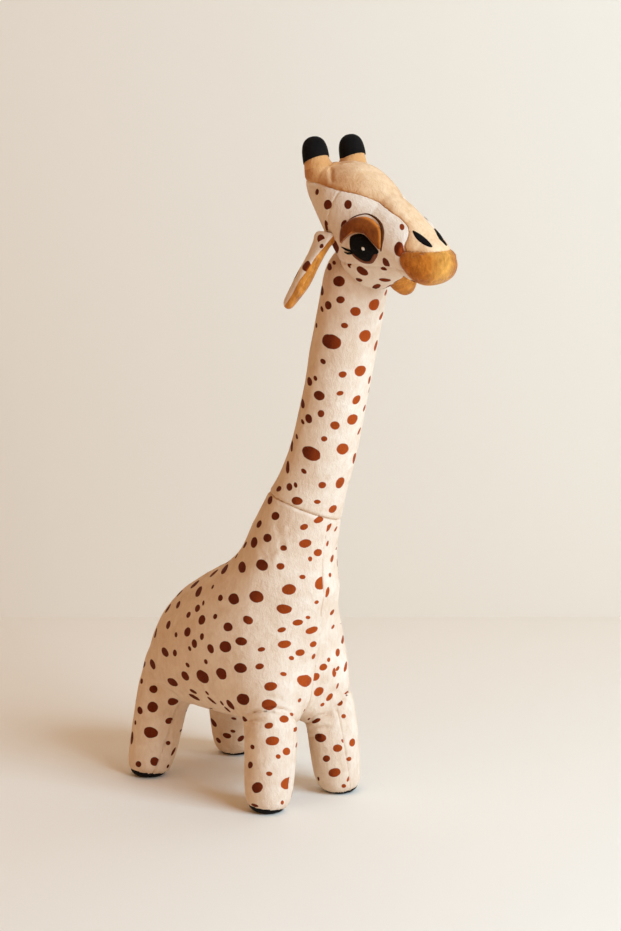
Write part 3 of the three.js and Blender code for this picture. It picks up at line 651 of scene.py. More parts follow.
def underTop(leg, places):
    return nearLeg(leg, places) & (above(places, legs[leg]["top"], legs[leg]["topWay"]) < 0)


def atNeck(places):  # the ring's plane counts only round the neck's foot
    return places[:, 0] > ring.x - seams["ringBack"]


def pressSkin(away, seam, share=1):
    for depth, width in seams["press"][seam]:
        pressSeam(skin, away, depth * mm * share, width * mm)


places = faceCentres(skin)
cutAlong(skin, (np.abs(above(places, ring, ringWay)) < seams["ringNear"]) & atNeck(places), ring, ringWay)
for leg, form in legs.items():
    cutAlong(skin, nearLeg(leg, faceCentres(skin)), form["top"], form["topWay"])
    places = faceCentres(skin)
    cutAlong(skin, nearLeg(leg, places) & (places[:, 2] < seams["soleNear"]), form["bottom"], form["bottomWay"])
    cutAlong(skin, underTop(leg, faceCentres(skin)), form["panel"], form["lean"])
cutAlong(skin, above(faceCentres(skin), ring, ringWay) < 0, (0, 0, 0), (0, 1, 0))

places = points(skin)
pressSkin(np.where(atNeck(places), above(places, ring, ringWay), 1), "ring")
body = above(places, ring, ringWay) < 1 * mm
inward = ramp(np.abs(places[:, 1]) / mm, *seams["legOutside"])
for leg, form in legs.items():
    mine, under = nearLeg(leg, places), underTop(leg, places)
    body &= ~under
    pressSkin(np.where(mine, above(places, form["top"], form["topWay"]), 1), form["end"] + "Top", inward)
    pressSkin(np.where(under, above(places, form["panel"], form["lean"]), 1), form["end"] + "Panel")
    pressSkin(np.where(mine, above(places, form["bottom"], form["bottomWay"]), 1), "sole")
pressSkin(np.where(body, places[:, 1], 1), "middle")

# folds that the photograph shows, as a line of pixels, depth and width in mm, and shallower on the other side
folds = [([(244.5, 714.3), (250, 712.8), (256, 711.6), (268, 709.9), (277, 709.8), (288, 711.4), (294, 714)], 3.8, 2.1),
         ([(245.5, 721.2), (250, 720.4), (256, 719.8), (266, 718.3)], 2.4, 1.9),
         ([(264, 697.5), (274, 698), (284, 699.8)], 1.3, 2.4), ([(281, 705), (287, 705.6), (294, 706.4)], 0.6, 1.8),
         ([(306.3, 724.2), (314.6, 719), (322, 716.1), (333, 714)], 3.2, 2.0),
         ([(308.5, 730), (314, 729), (320, 728.3), (334, 727)], 2.4, 2.0),
         ([(309, 737.2), (314, 736.4), (320, 735.6)], 2.0, 2.0),
         ([(333.6, 703.5), (334.6, 708), (336, 711.5), (339, 714)], 1.7, 1.3),
         ([(152, 682), (160, 686), (168, 691.5), (180, 698)], 2.0, 6.0)]
otherSide = 0.5
for line, depth, width in folds:
    track = seenOn(skinSurface, smoothLine(line, 5))
    pressFold(skin, track, depth * mm, width * mm)
    pressFold(skin, track * (1, -1, 1), depth * otherSide * mm, width * mm)

pieces = {}
for leg, form in legs.items():
    pieces[leg] = splitOff(skin, underTop(leg, faceCentres(skin)), leg + "_leg")
    places = faceCentres(pieces[leg])
    pieces[leg + "_sole"] = splitOff(pieces[leg], above(places, form["bottom"], form["bottomWay"]) < 0,
                                     leg + "_sole_pad")
places = faceCentres(skin)
pieces["neck"] = splitOff(skin, (above(places, ring, ringWay) > 0) & atNeck(places), "neck_tube")
skin.name = "body_skin"
pieces["body"] = skin
print("skin parted into", len(pieces), "pieces")


def awayFromLine(places, line):  # distance in the side view, x and z
    flat = places[:, [0, 2]]
    best = np.full(len(flat), 1.0)
    for a, b in zip(line[:-1], line[1:]):
        way = b - a
        share = np.clip(((flat - a) @ way) / (way @ way), 0, 1)
        best = np.minimum(best, np.linalg.norm(flat - a - share[:, None] * way, axis=1))
    return best


# horns: a stem that widens into the forehead and a black cap set on askew, profiles as radius and height in mm
hornForm = {"middle": (63.5, 24.9, 685.5), "lean": 13, "capTilt": 13, "capFrom": -9.5, "stemFrom": -18, "steps": 44,
            "near": 8 * mm, "apart": 3 * mm,
            "stem": [(0, -40), (8, -40), (12, -34), (14.2, -27), (14, -20), (13, -13), (12.5, -4), (11.5, 1), (0, 2)],
            "cap": [(0, -22), (12.6, -22), (13.3, -20), (13.3, -12), (13.2, -4), (12.6, 2), (11, 7.4), (8.4, 11),
                    (4.6, 13.4), (0, 14.2)]}
hornPlace = Vector(hornForm["middle"]) * mm
hornTurn = Matrix.Rotation(math.radians(-hornForm["lean"]), 4, "Y")
hornWay = hornTurn.to_3x3() @ Vector((0, 0, 1))
stems = []
for side in (-1, 1):
    stem = turned("stem", hornForm["stem"], hornForm["steps"])
    moveBy(stem, Matrix.Translation((hornPlace.x, side * hornPlace.y, hornPlace.z)) @ hornTurn)
    stems.append(stem)

# head: one form, parted along the forehead and muzzle seams
# seam lines are x and z from the nod's pivot, trims and chin are x and what comes off or hangs there, all in mm
headForm = {"voxel": 2.6 * mm, "fill": 4 * mm, "full": 0, "relax": (8, 5), "pressure": 4, "cap": 1 * mm,
            "forehead": [(-150, 96), (-84, 95), (-34, 94), (10, 88), (35, 83.5), (58, 73), (80, 62), (92, 50),
                         (95, 35)],
            "muzzle": [(95, 35), (91, 26), (92, 15), (106, -14)],
            "mouth": [(95, 35), (110, 34.5), (150, 34)],
            "jaw": [(-8, 37), (0, 26), (12, 18), (40, 16), (92, 15)],
            "dart": [(12, 87), (8, 75), (4, 62), (0, 48)],
            "press": {"forehead": (0.8, 2), "muzzle": (1.3, 2.4), "mouth": (0.9, 1.8), "jaw": (1.3, 1.3),
                      "dart": (0.9, 1.2)},
            "topTrim": [(50, 0), (65, -1.5), (80, -2.5), (92, -2.6), (106, -2), (121, -0.2), (136, 1.9), (151, 3.9),
                        (166, 1.4), (180, 0.6), (195, 1.4), (206, 2.4), (213, 1), (222, 0.5)],
            "lowTrim": [(105, 0), (120, 1.5), (143, 6), (158, 10.5), (173, 9), (188, 2.9), (200, -2), (210, -4.7),
                        (215, -4.5), (225, -2)],
            "outlineWay": 0.7, "lowFrom": 15 * mm, "lowUnder": 45 * mm, "topOver": 30 * mm, "clearOfHorn": 19 * mm,
            "hornDepth": 40 * mm, "noseMiddle": 0.5, "noseSides": 0.8, "noseWidth": 22 * mm,
            "chin": [(60, 0), (75, 8), (90, 14), (128, 14), (143, 7), (158, 3), (172, 0)], "chinUnder": 32 * mm,
            "chinRun": -22 * mm,
            "hornFold": [(329.5, 165), (330.6, 171), (331, 177), (331.5, 184)], "foldDepth": 1.6, "foldWidth": 2.6,
            "settle": 3, "rim": 0.9 * mm, "rimNear": 0.08 * mm}
cutForm = {"half": 0.1, "top": 0.2, "ahead": 0.15, "under": 0.05, "over": 0.01}  # blocks that part the head
headPlace = pivot("head_nod")
headNodes = ["forehead_panel", "muzzle_panel", "nape_panel", "chin_panel", "right_cheek_panel", "left_cheek_panel",
             "head_filling"]


def headLine(corners, steps=6):
    return smoothLine([(headPlace.x + x * mm, headPlace.z + z * mm) for x, z in corners], steps)


head = joined("printed_head", [cadCopy("printed_head", headNodes), *stems])
fillOut(head, headForm)
places, ways = points(head), pointNormals(head)
topTrim, lowTrim = (np.interp(places[:, 0] / mm, *np.array(headForm[key]).T) for key in ("topTrim", "lowTrim"))
crown = headForm["noseMiddle"] + headForm["noseSides"] * np.clip(np.abs(places[:, 1]) / headForm["noseWidth"], 0, 1)
topTrim = np.where(topTrim > 0, topTrim * crown, topTrim)
fromHorn = np.hypot(places[:, 0] - hornPlace.x, np.abs(places[:, 1]) - hornPlace.y)
besideHorn = (fromHorn > headForm["clearOfHorn"]) | (places[:, 2] < hornPlace.z - headForm["hornDepth"])
high = (places[:, 2] > headPlace.z + headForm["topOver"]) & besideHorn
low = (places[:, 0] > headPlace.x + headForm["lowFrom"]) & (places[:, 2] < headPlace.z + headForm["lowUnder"])
upward, downward = (np.clip(way / headForm["outlineWay"], 0, 1) for way in (ways[:, 2], -ways[:, 2]))
trim = np.where(high, upward * topTrim, 0) + np.where(low, downward * lowTrim, 0)
places -= ways * trim[:, None] * mm
sag = np.interp(places[:, 0] / mm, *np.array(headForm["chin"]).T) * mm  # the chin hangs over the neck
places[:, 2] -= sag * ramp(places[:, 2], headPlace.z + headForm["chinUnder"], headForm["chinRun"])
movePoints(head, places)
relax(head, headForm["settle"])
lines = {key: headLine(headForm[key]) for key in headForm["press"]}
for key, (depth, width) in headForm["press"].items():
    pressSeam(head, awayFromLine(points(head), lines[key]), depth * mm, width * mm)
track = seenOn(surfaceOf(head), smoothLine(headForm["hornFold"], 4))
for flip in (1, -1):
    pressFold(head, track * (1, flip, 1), headForm["foldDepth"] * mm, headForm["foldWidth"] * mm)

upper = np.vstack([lines["forehead"], lines["mouth"][1:]])
top = headPlace.z + cutForm["top"]
foreheadBlock = sideBlock("foreheadBlock", [*upper, (upper[-1][0], top), (upper[0][0], top)], cutForm["half"])
start, top = lines["muzzle"][0][0], lines["muzzle"][0][1] + cutForm["over"]
front = headPlace.x + cutForm["ahead"]
muzzleBlock = sideBlock("muzzleBlock", [*lines["muzzle"], (front, headPlace.z - cutForm["under"]), (front, top),
                                        (start, top)], cutForm["half"])
whole = surfaceOf(head)
forehead = copyOf(head, "forehead")
cutWith(forehead, foreheadBlock, "INTERSECT")
cutWith(head, foreheadBlock, "DIFFERENCE")
muzzle = copyOf(head, "muzzle")
cutWith(muzzle, muzzleBlock, "INTERSECT")
cutWith(head, muzzleBlock, "DIFFERENCE")
for part in (head, forehead, muzzle):  # the stitches pull each panel's edge in
    places = points(part)
    away = np.min([awayFromLine(places, lines[key]) for key in ("forehead", "muzzle", "mouth")], axis=0)
    for i in np.flatnonzero(away < headForm["rimNear"]):
        places[i] -= np.array(whole.find_nearest(Vector(places[i]))[1]) * headForm["rim"]
    movePoints(part, places)
bpy.data.objects.remove(foreheadBlock)
bpy.data.objects.remove(muzzleBlock)
print("head parted:", len(head.data.polygons), len(forehead.data.polygons), len(muzzle.data.polygons), "faces")

for side, word in ((-1, "right"), (1, "left")):
    middle = Vector((hornPlace.x, side * hornPlace.y, hornPlace.z))
    foot = middle + hornWay * hornForm["stemFrom"] * mm
    places = faceCentres(forehead)
    near = (np.abs(above(places, foot, hornWay)) < hornForm["near"]) & (places[:, 1] * side > hornForm["apart"])
    cutAlong(forehead, near, foot, hornWay)
    places = faceCentres(forehead)
    mine = (above(places, foot, hornWay) > 0) & (places[:, 1] * side > hornForm["apart"])
    stem = splitOff(forehead, mine, word + "_horn_stem")
    cap = turned(word + "_horn_tip", hornForm["cap"], hornForm["steps"])
    activate(cap)
    bpy.ops.object.mode_set(mode="EDIT")
    bpy.ops.mesh.select_all(action="SELECT")
    tilt = math.radians(hornForm["capTilt"])
    bpy.ops.mesh.bisect(plane_co=(0, 0, hornForm["capFrom"] * mm), plane_no=(-math.sin(tilt), 0, math.cos(tilt)),
                        use_fill=True, clear_inner=True)
    bpy.ops.object.mode_set(mode="OBJECT")
    bpy.ops.object.shade_smooth_by_angle(angle=sharpFrom)
    moveBy(cap, Matrix.Translation(middle) @ hornTurn)
    for horn, node, slot, material in ((stem, "_horn", "caramel_plush", hornPlush),
                                       (cap, "_horn_cap", "black_plush", blackPlush)):
        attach(horn, "head")
        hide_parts(word + node)
        horn.data.materials.append(material)
print("horns set")

# ears: one padded leaf, creased and parted along the line that the photograph shows
earForm = {"voxel": 1.7 * mm, "fill": 3.5 * mm, "full": 1.7 * mm, "relax": (6, 6),
           "tip": 2.5 * mm, "tipUnder": (558, -16), "tipWay": (-1, -0.3, 0),
           "parting": [(345, 226), (333, 236.5), (328.4, 241.6), (323.8, 247.4), (320.3, 251.4), (315.2, 257.7),
                       (310.6, 265.2), (306, 272), (299.7, 280.1), (296.8, 285.2), (293.4, 292.1), (289.3, 299),
                       (285.3, 304.7), (276, 318)], "inward": (80, 40), "near": 2.4, "far": 3.1,
           "crease": [(323, 252), (318.6, 261.7), (315.2, 270.9), (309.4, 279.5), (303.7, 289.3), (298, 296.5)],
           "creaseDepth": 3.2 * mm, "creaseWidth": 2.4 * mm}
rightEar = cadCopy("right_ear", ["right_ear_outer", "right_ear_inner"])
fillOut(rightEar, earForm)
places = points(rightEar)
share = ramp(places[:, 2] / mm, *earForm["tipUnder"])[:, None]  # a blunter tip
places += np.array(camera.matrix_world.to_3x3() @ Vector(earForm["tipWay"])) * share * earForm["tip"]
movePoints(rightEar, places)
pressFold(rightEar, seenOn(surfaceOf(rightEar), smoothLine(earForm["crease"], 5)), earForm["creaseDepth"],
          earForm["creaseWidth"])


def curtain(name, line, shift, near, far):  # a block between the line and its shifted copy, along the view
    edge = [*line, *(line[::-1] + np.array(shift))]
    count = len(edge)
    corners = [camera.location + pixelRay(*spot) * reach for reach in (near, far) for spot in edge]
    faces = [tuple(range(count)), tuple(range(count, 2 * count))]
    faces += [(i, (i + 1) % count, count + (i + 1) % count, count + i) for i in range(count)]
    return newMesh(name, corners, faces)


inside = curtain("inside", smoothLine(earForm["parting"], 4), earForm["inward"], earForm["near"], earForm["far"])
ears = {"right_ear_inner": copyOf(rightEar, "right_ear_inside"), "right_ear_outer": rightEar}
cutWith(ears["right_ear_inner"], inside, "INTERSECT")
cutWith(rightEar, inside, "DIFFERENCE")
bpy.data.objects.remove(inside)
for part, name in (("outer", "back"), ("inner", "inside")):
    ears["right_ear_" + part].name = "right_ear_" + name
    ears["left_ear_" + part] = mirrored(ears["right_ear_" + part], "left_ear_" + name)
for node, ear in ears.items():
    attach(ear, node.split("_")[0] + "_ear")
    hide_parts(node)
    ear.data.materials.append(printedFace if node.endswith("outer") else caramelPlush)
print("ears", [len(ear.data.polygons) for ear in ears.values()])

# tail: a stuffed tube with a black tuft
tailForm = {"voxel": 1.6 * mm, "relax": 5}
for node, material, slot in (("tail_cover", printedPlush, "printed_plush"), ("tail_tuft", blackPlush, "black_plush")):
    tail = cadCopy(node + "_pad", [node])
    remesh(tail, tailForm["voxel"])
    relax(tail, tailForm["relax"])
    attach(tail, "tail")
    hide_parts(node)
    tail.data.materials.append(material)
    pieces[node] = tail
    print(node, len(tail.data.polygons), "faces")


# face: patches read off the photograph's pixels and laid on the head, then mirrored for the other side
faceForm = {"eye": [(350.1, 240.3), (350.6, 237), (352, 235.6), (355, 234.3), (360.4, 233.6), (365.3, 235.6),
                    (369.3, 239.6), (373.8, 245), (378.4, 251), (377.4, 254.2), (375.4, 253.6), (373.2, 255.6),
                    (371.5, 259), (369.3, 260.9), (365.3, 260.9), (360.8, 258.7), (356.8, 256), (353.7, 253.2),
                    (351, 249.2), (350.1, 244.3)],
            "eyeMiddle": (362.5, 247.5), "eyeHeight": 3.0,
            "lid": [(341.2, 243.2), (340.8, 236.3), (341.8, 230), (343.6, 226.4), (347.9, 222.4), (353.2, 219),
                    (358.6, 217.4), (365.7, 217.1), (371, 218.5), (376.2, 222.4), (379.8, 226.9), (381.2, 232.7),
                    (381.2, 240.7), (380.2, 249.8), (374.6, 244.3), (370.2, 239.4), (365.7, 234.9), (360.4, 233.1),
                    (355, 233.1), (351, 234.5), (347, 237.6), (343, 241.6)],
            "lidMiddle": (362.5, 226.5), "lidHeight": 6.5, "lidLift": 0.8,
            "rimOuter": [(345.8, 223.4), (350.5, 218.4), (356, 215.4), (363, 213.5), (368.4, 213.5), (374, 215.7),
                         (378.4, 218.9), (382.2, 223.9), (384.2, 230), (384, 236.3), (383.1, 242), (381.4, 251.4)],
            "rimInner": [(346.6, 223.9), (351.2, 219.4), (356.4, 216.5), (363, 214.7), (368.2, 214.9), (373, 217.4),
                         (376.8, 220.8), (379.8, 225.8), (381, 231.5), (381, 237), (380.6, 243), (380.2, 250.4)],
            "rimHeight": 0.7,
            "lowerOuter": [(351.9, 254.4), (355, 258.1), (359.5, 261.3), (363.9, 263.3), (368.8, 263.9), (372.9, 263),
                           (375.3, 259.9), (377.4, 256.3), (377.9, 254.2)],
            "lowerInner": [(353.2, 252.8), (356.8, 255.4), (360.8, 258), (365.3, 260.2), (369, 260.2), (371, 258.6),
                           (372.6, 255.2), (374.2, 253), (376.4, 252.8)], "lowerHeight": 1.5,
            "lashes": [[(341.8, 246.8), (344.6, 248.4), (347.4, 249.8), (352.5, 251)],
                       [(344.5, 251.6), (347, 253), (349.4, 253.4), (353.5, 252.4)]],
            "lashRadius": 1.15, "lashLift": 0.4,
            "glint": (363, 248.7), "glintRadius": 1.9, "glintFlat": 0.35,
            "nostril": [(412.6, 231), (417, 232.6), (423, 236.5), (429, 242), (432.4, 247), (428, 246.6),
                        (421.5, 243.2), (415.5, 237.5)],
            "nostrilMiddle": (422.5, 239.2), "nostrilHeight": 1.6}
faceParts = [surfaceOf(obj) for obj in (head, forehead, muzzle)]


def faceHit(across, down):
    hits = [part.ray_cast(camera.location, pixelRay(across, down)) for part in faceParts]
    return min((hit for hit in hits if hit[0]), key=lambda hit: hit[3])[:2]


def tubeFaces(rows, loop):  # faces between rows of corners, each row a closed loop
    return [(i * loop + k, i * loop + (k + 1) % loop, (i + 1) * loop + (k + 1) % loop, (i + 1) * loop + k)
            for i in range(rows - 1) for k in range(loop)]


def capFaces(rows, loop):
    return [tuple(range(loop)), tuple((rows - 1) * loop + k for k in range(loop))]


# a crowned patch in rings, its rim sunk into the head
def patch(name, rings=10, lift=0.0, bulge=2.4, sink=1.2, steep=0.6):
    rim = smoothLine(faceForm[name], 4, closed=True)
    middle = np.array(faceForm[name + "Middle"], float)
    height = faceForm[name + "Height"]
    out = faceHit(*middle)[1]
    corners = []
    count = len(rim)
    for step in range(rings):
        share = 1 if step == 0 else (rings - step) / (rings - 1)
        rise = -sink * mm if step == 0 else height * mm * (1 - ((rings - step) / (rings - steep)) ** bulge) ** 0.5
        for spot in rim:
            hit = faceHit(*(middle + (spot - middle) * share))
            corners.append(hit[0] + out * (rise + lift * mm * (step > 0)))
    corners.append(faceHit(*middle)[0] + out * (height + lift) * mm)
    last = (rings - 1) * count
    tip = [(last + i, last + (i + 1) % count, len(corners) - 1) for i in range(count)]
    return newMesh(name, corners, tubeFaces(rings, count) + tip + [tuple(range(count))])


# a stitched band between two lines
def bandOn(name, across=6, steps=5, sink=1, lift=0.15):
    outer, inner = (smoothLine(faceForm[name + edge], steps) for edge in ("Outer", "Inner"))
    height = faceForm[name + "Height"]
    bow = [(k / across, math.sin(math.pi * k / across) * height) for k in range(across + 1)]
    row = [(0, -sink)] + bow + [(1, -sink)]
    corners = []
    for a, b in zip(outer, inner):
        out = faceHit(*((a + b) / 2))[1]
        for share, rise in row:
            corners.append(faceHit(*(a + (b - a) * share))[0] + out * (rise + lift) * mm)
    return newMesh(name, corners, tubeFaces(len(outer), len(row)) + capFaces(len(outer), len(row)))


# a sewn cord, thin at its start
def cordOn(name, line, radius, lift, around=8, steps=5, thin=0.3, swell=1.4):
    track = [faceHit(*spot) for spot in smoothLine(line, steps)]
    corners = []
    count = len(track)
    for i, (at, out) in enumerate(track):
        along = (track[min(i + 1, count - 1)][0] - track[max(i - 1, 0)][0]).normalized()
        side = along.cross(out).normalized()
        thick = radius * mm * min(1, thin + swell * i / count)
        for k in range(around):
            turn = 2 * math.pi * k / around
            corners.append(at + out * (lift * radius * mm + thick * math.sin(turn)) + side * thick * math.cos(turn))
    return newMesh(name, corners, tubeFaces(count, around) + capFaces(count, around))


def bothSides(obj, word, material, node=None):
    obj.data.materials.append(material)
    obj.name = "right_" + word
    twin = mirrored(obj, "left_" + word)
    for part, side in ((obj, "right_"), (twin, "left_")):
        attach(part, "head")
        if node:
            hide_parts(side + node)


bothSides(patch("eye"), "eye_patch", blackPatch, "eye")
bothSides(patch("lid", lift=faceForm["lidLift"]), "lid_pad", lidPlush, "upper_lid")
bothSides(bandOn("rim"), "lid_rim", lidThread, "lid_edge")
bothSides(bandOn("lower"), "lower_lid_thread", lowerThread, "lower_lid")
lashes = [cordOn("lash", line, faceForm["lashRadius"], faceForm["lashLift"]) for line in faceForm["lashes"]]
bothSides(joined("lashes", lashes), "lashes", blackPatch)
bothSides(patch("nostril"), "nostril_patch", blackPatch, "nostril")
eyeTop = surfaceOf(bpy.data.objects["right_eye_patch"])
seat, out = eyeTop.ray_cast(camera.location, pixelRay(*faceForm["glint"]))[:2]
bpy.ops.mesh.primitive_uv_sphere_add(segments=16, ring_count=8, radius=faceForm["glintRadius"] * mm)
glint = bpy.context.object
bpy.ops.object.shade_smooth()
flatten = Matrix.Scale(faceForm["glintFlat"], 4, (0, 0, 1))
moveBy(glint, Matrix.Translation(seat) @ out.to_track_quat("Z", "Y").to_matrix().to_4x4() @ flatten)
bothSides(glint, "eye_glint", glintThread)
print("face laid on the head")


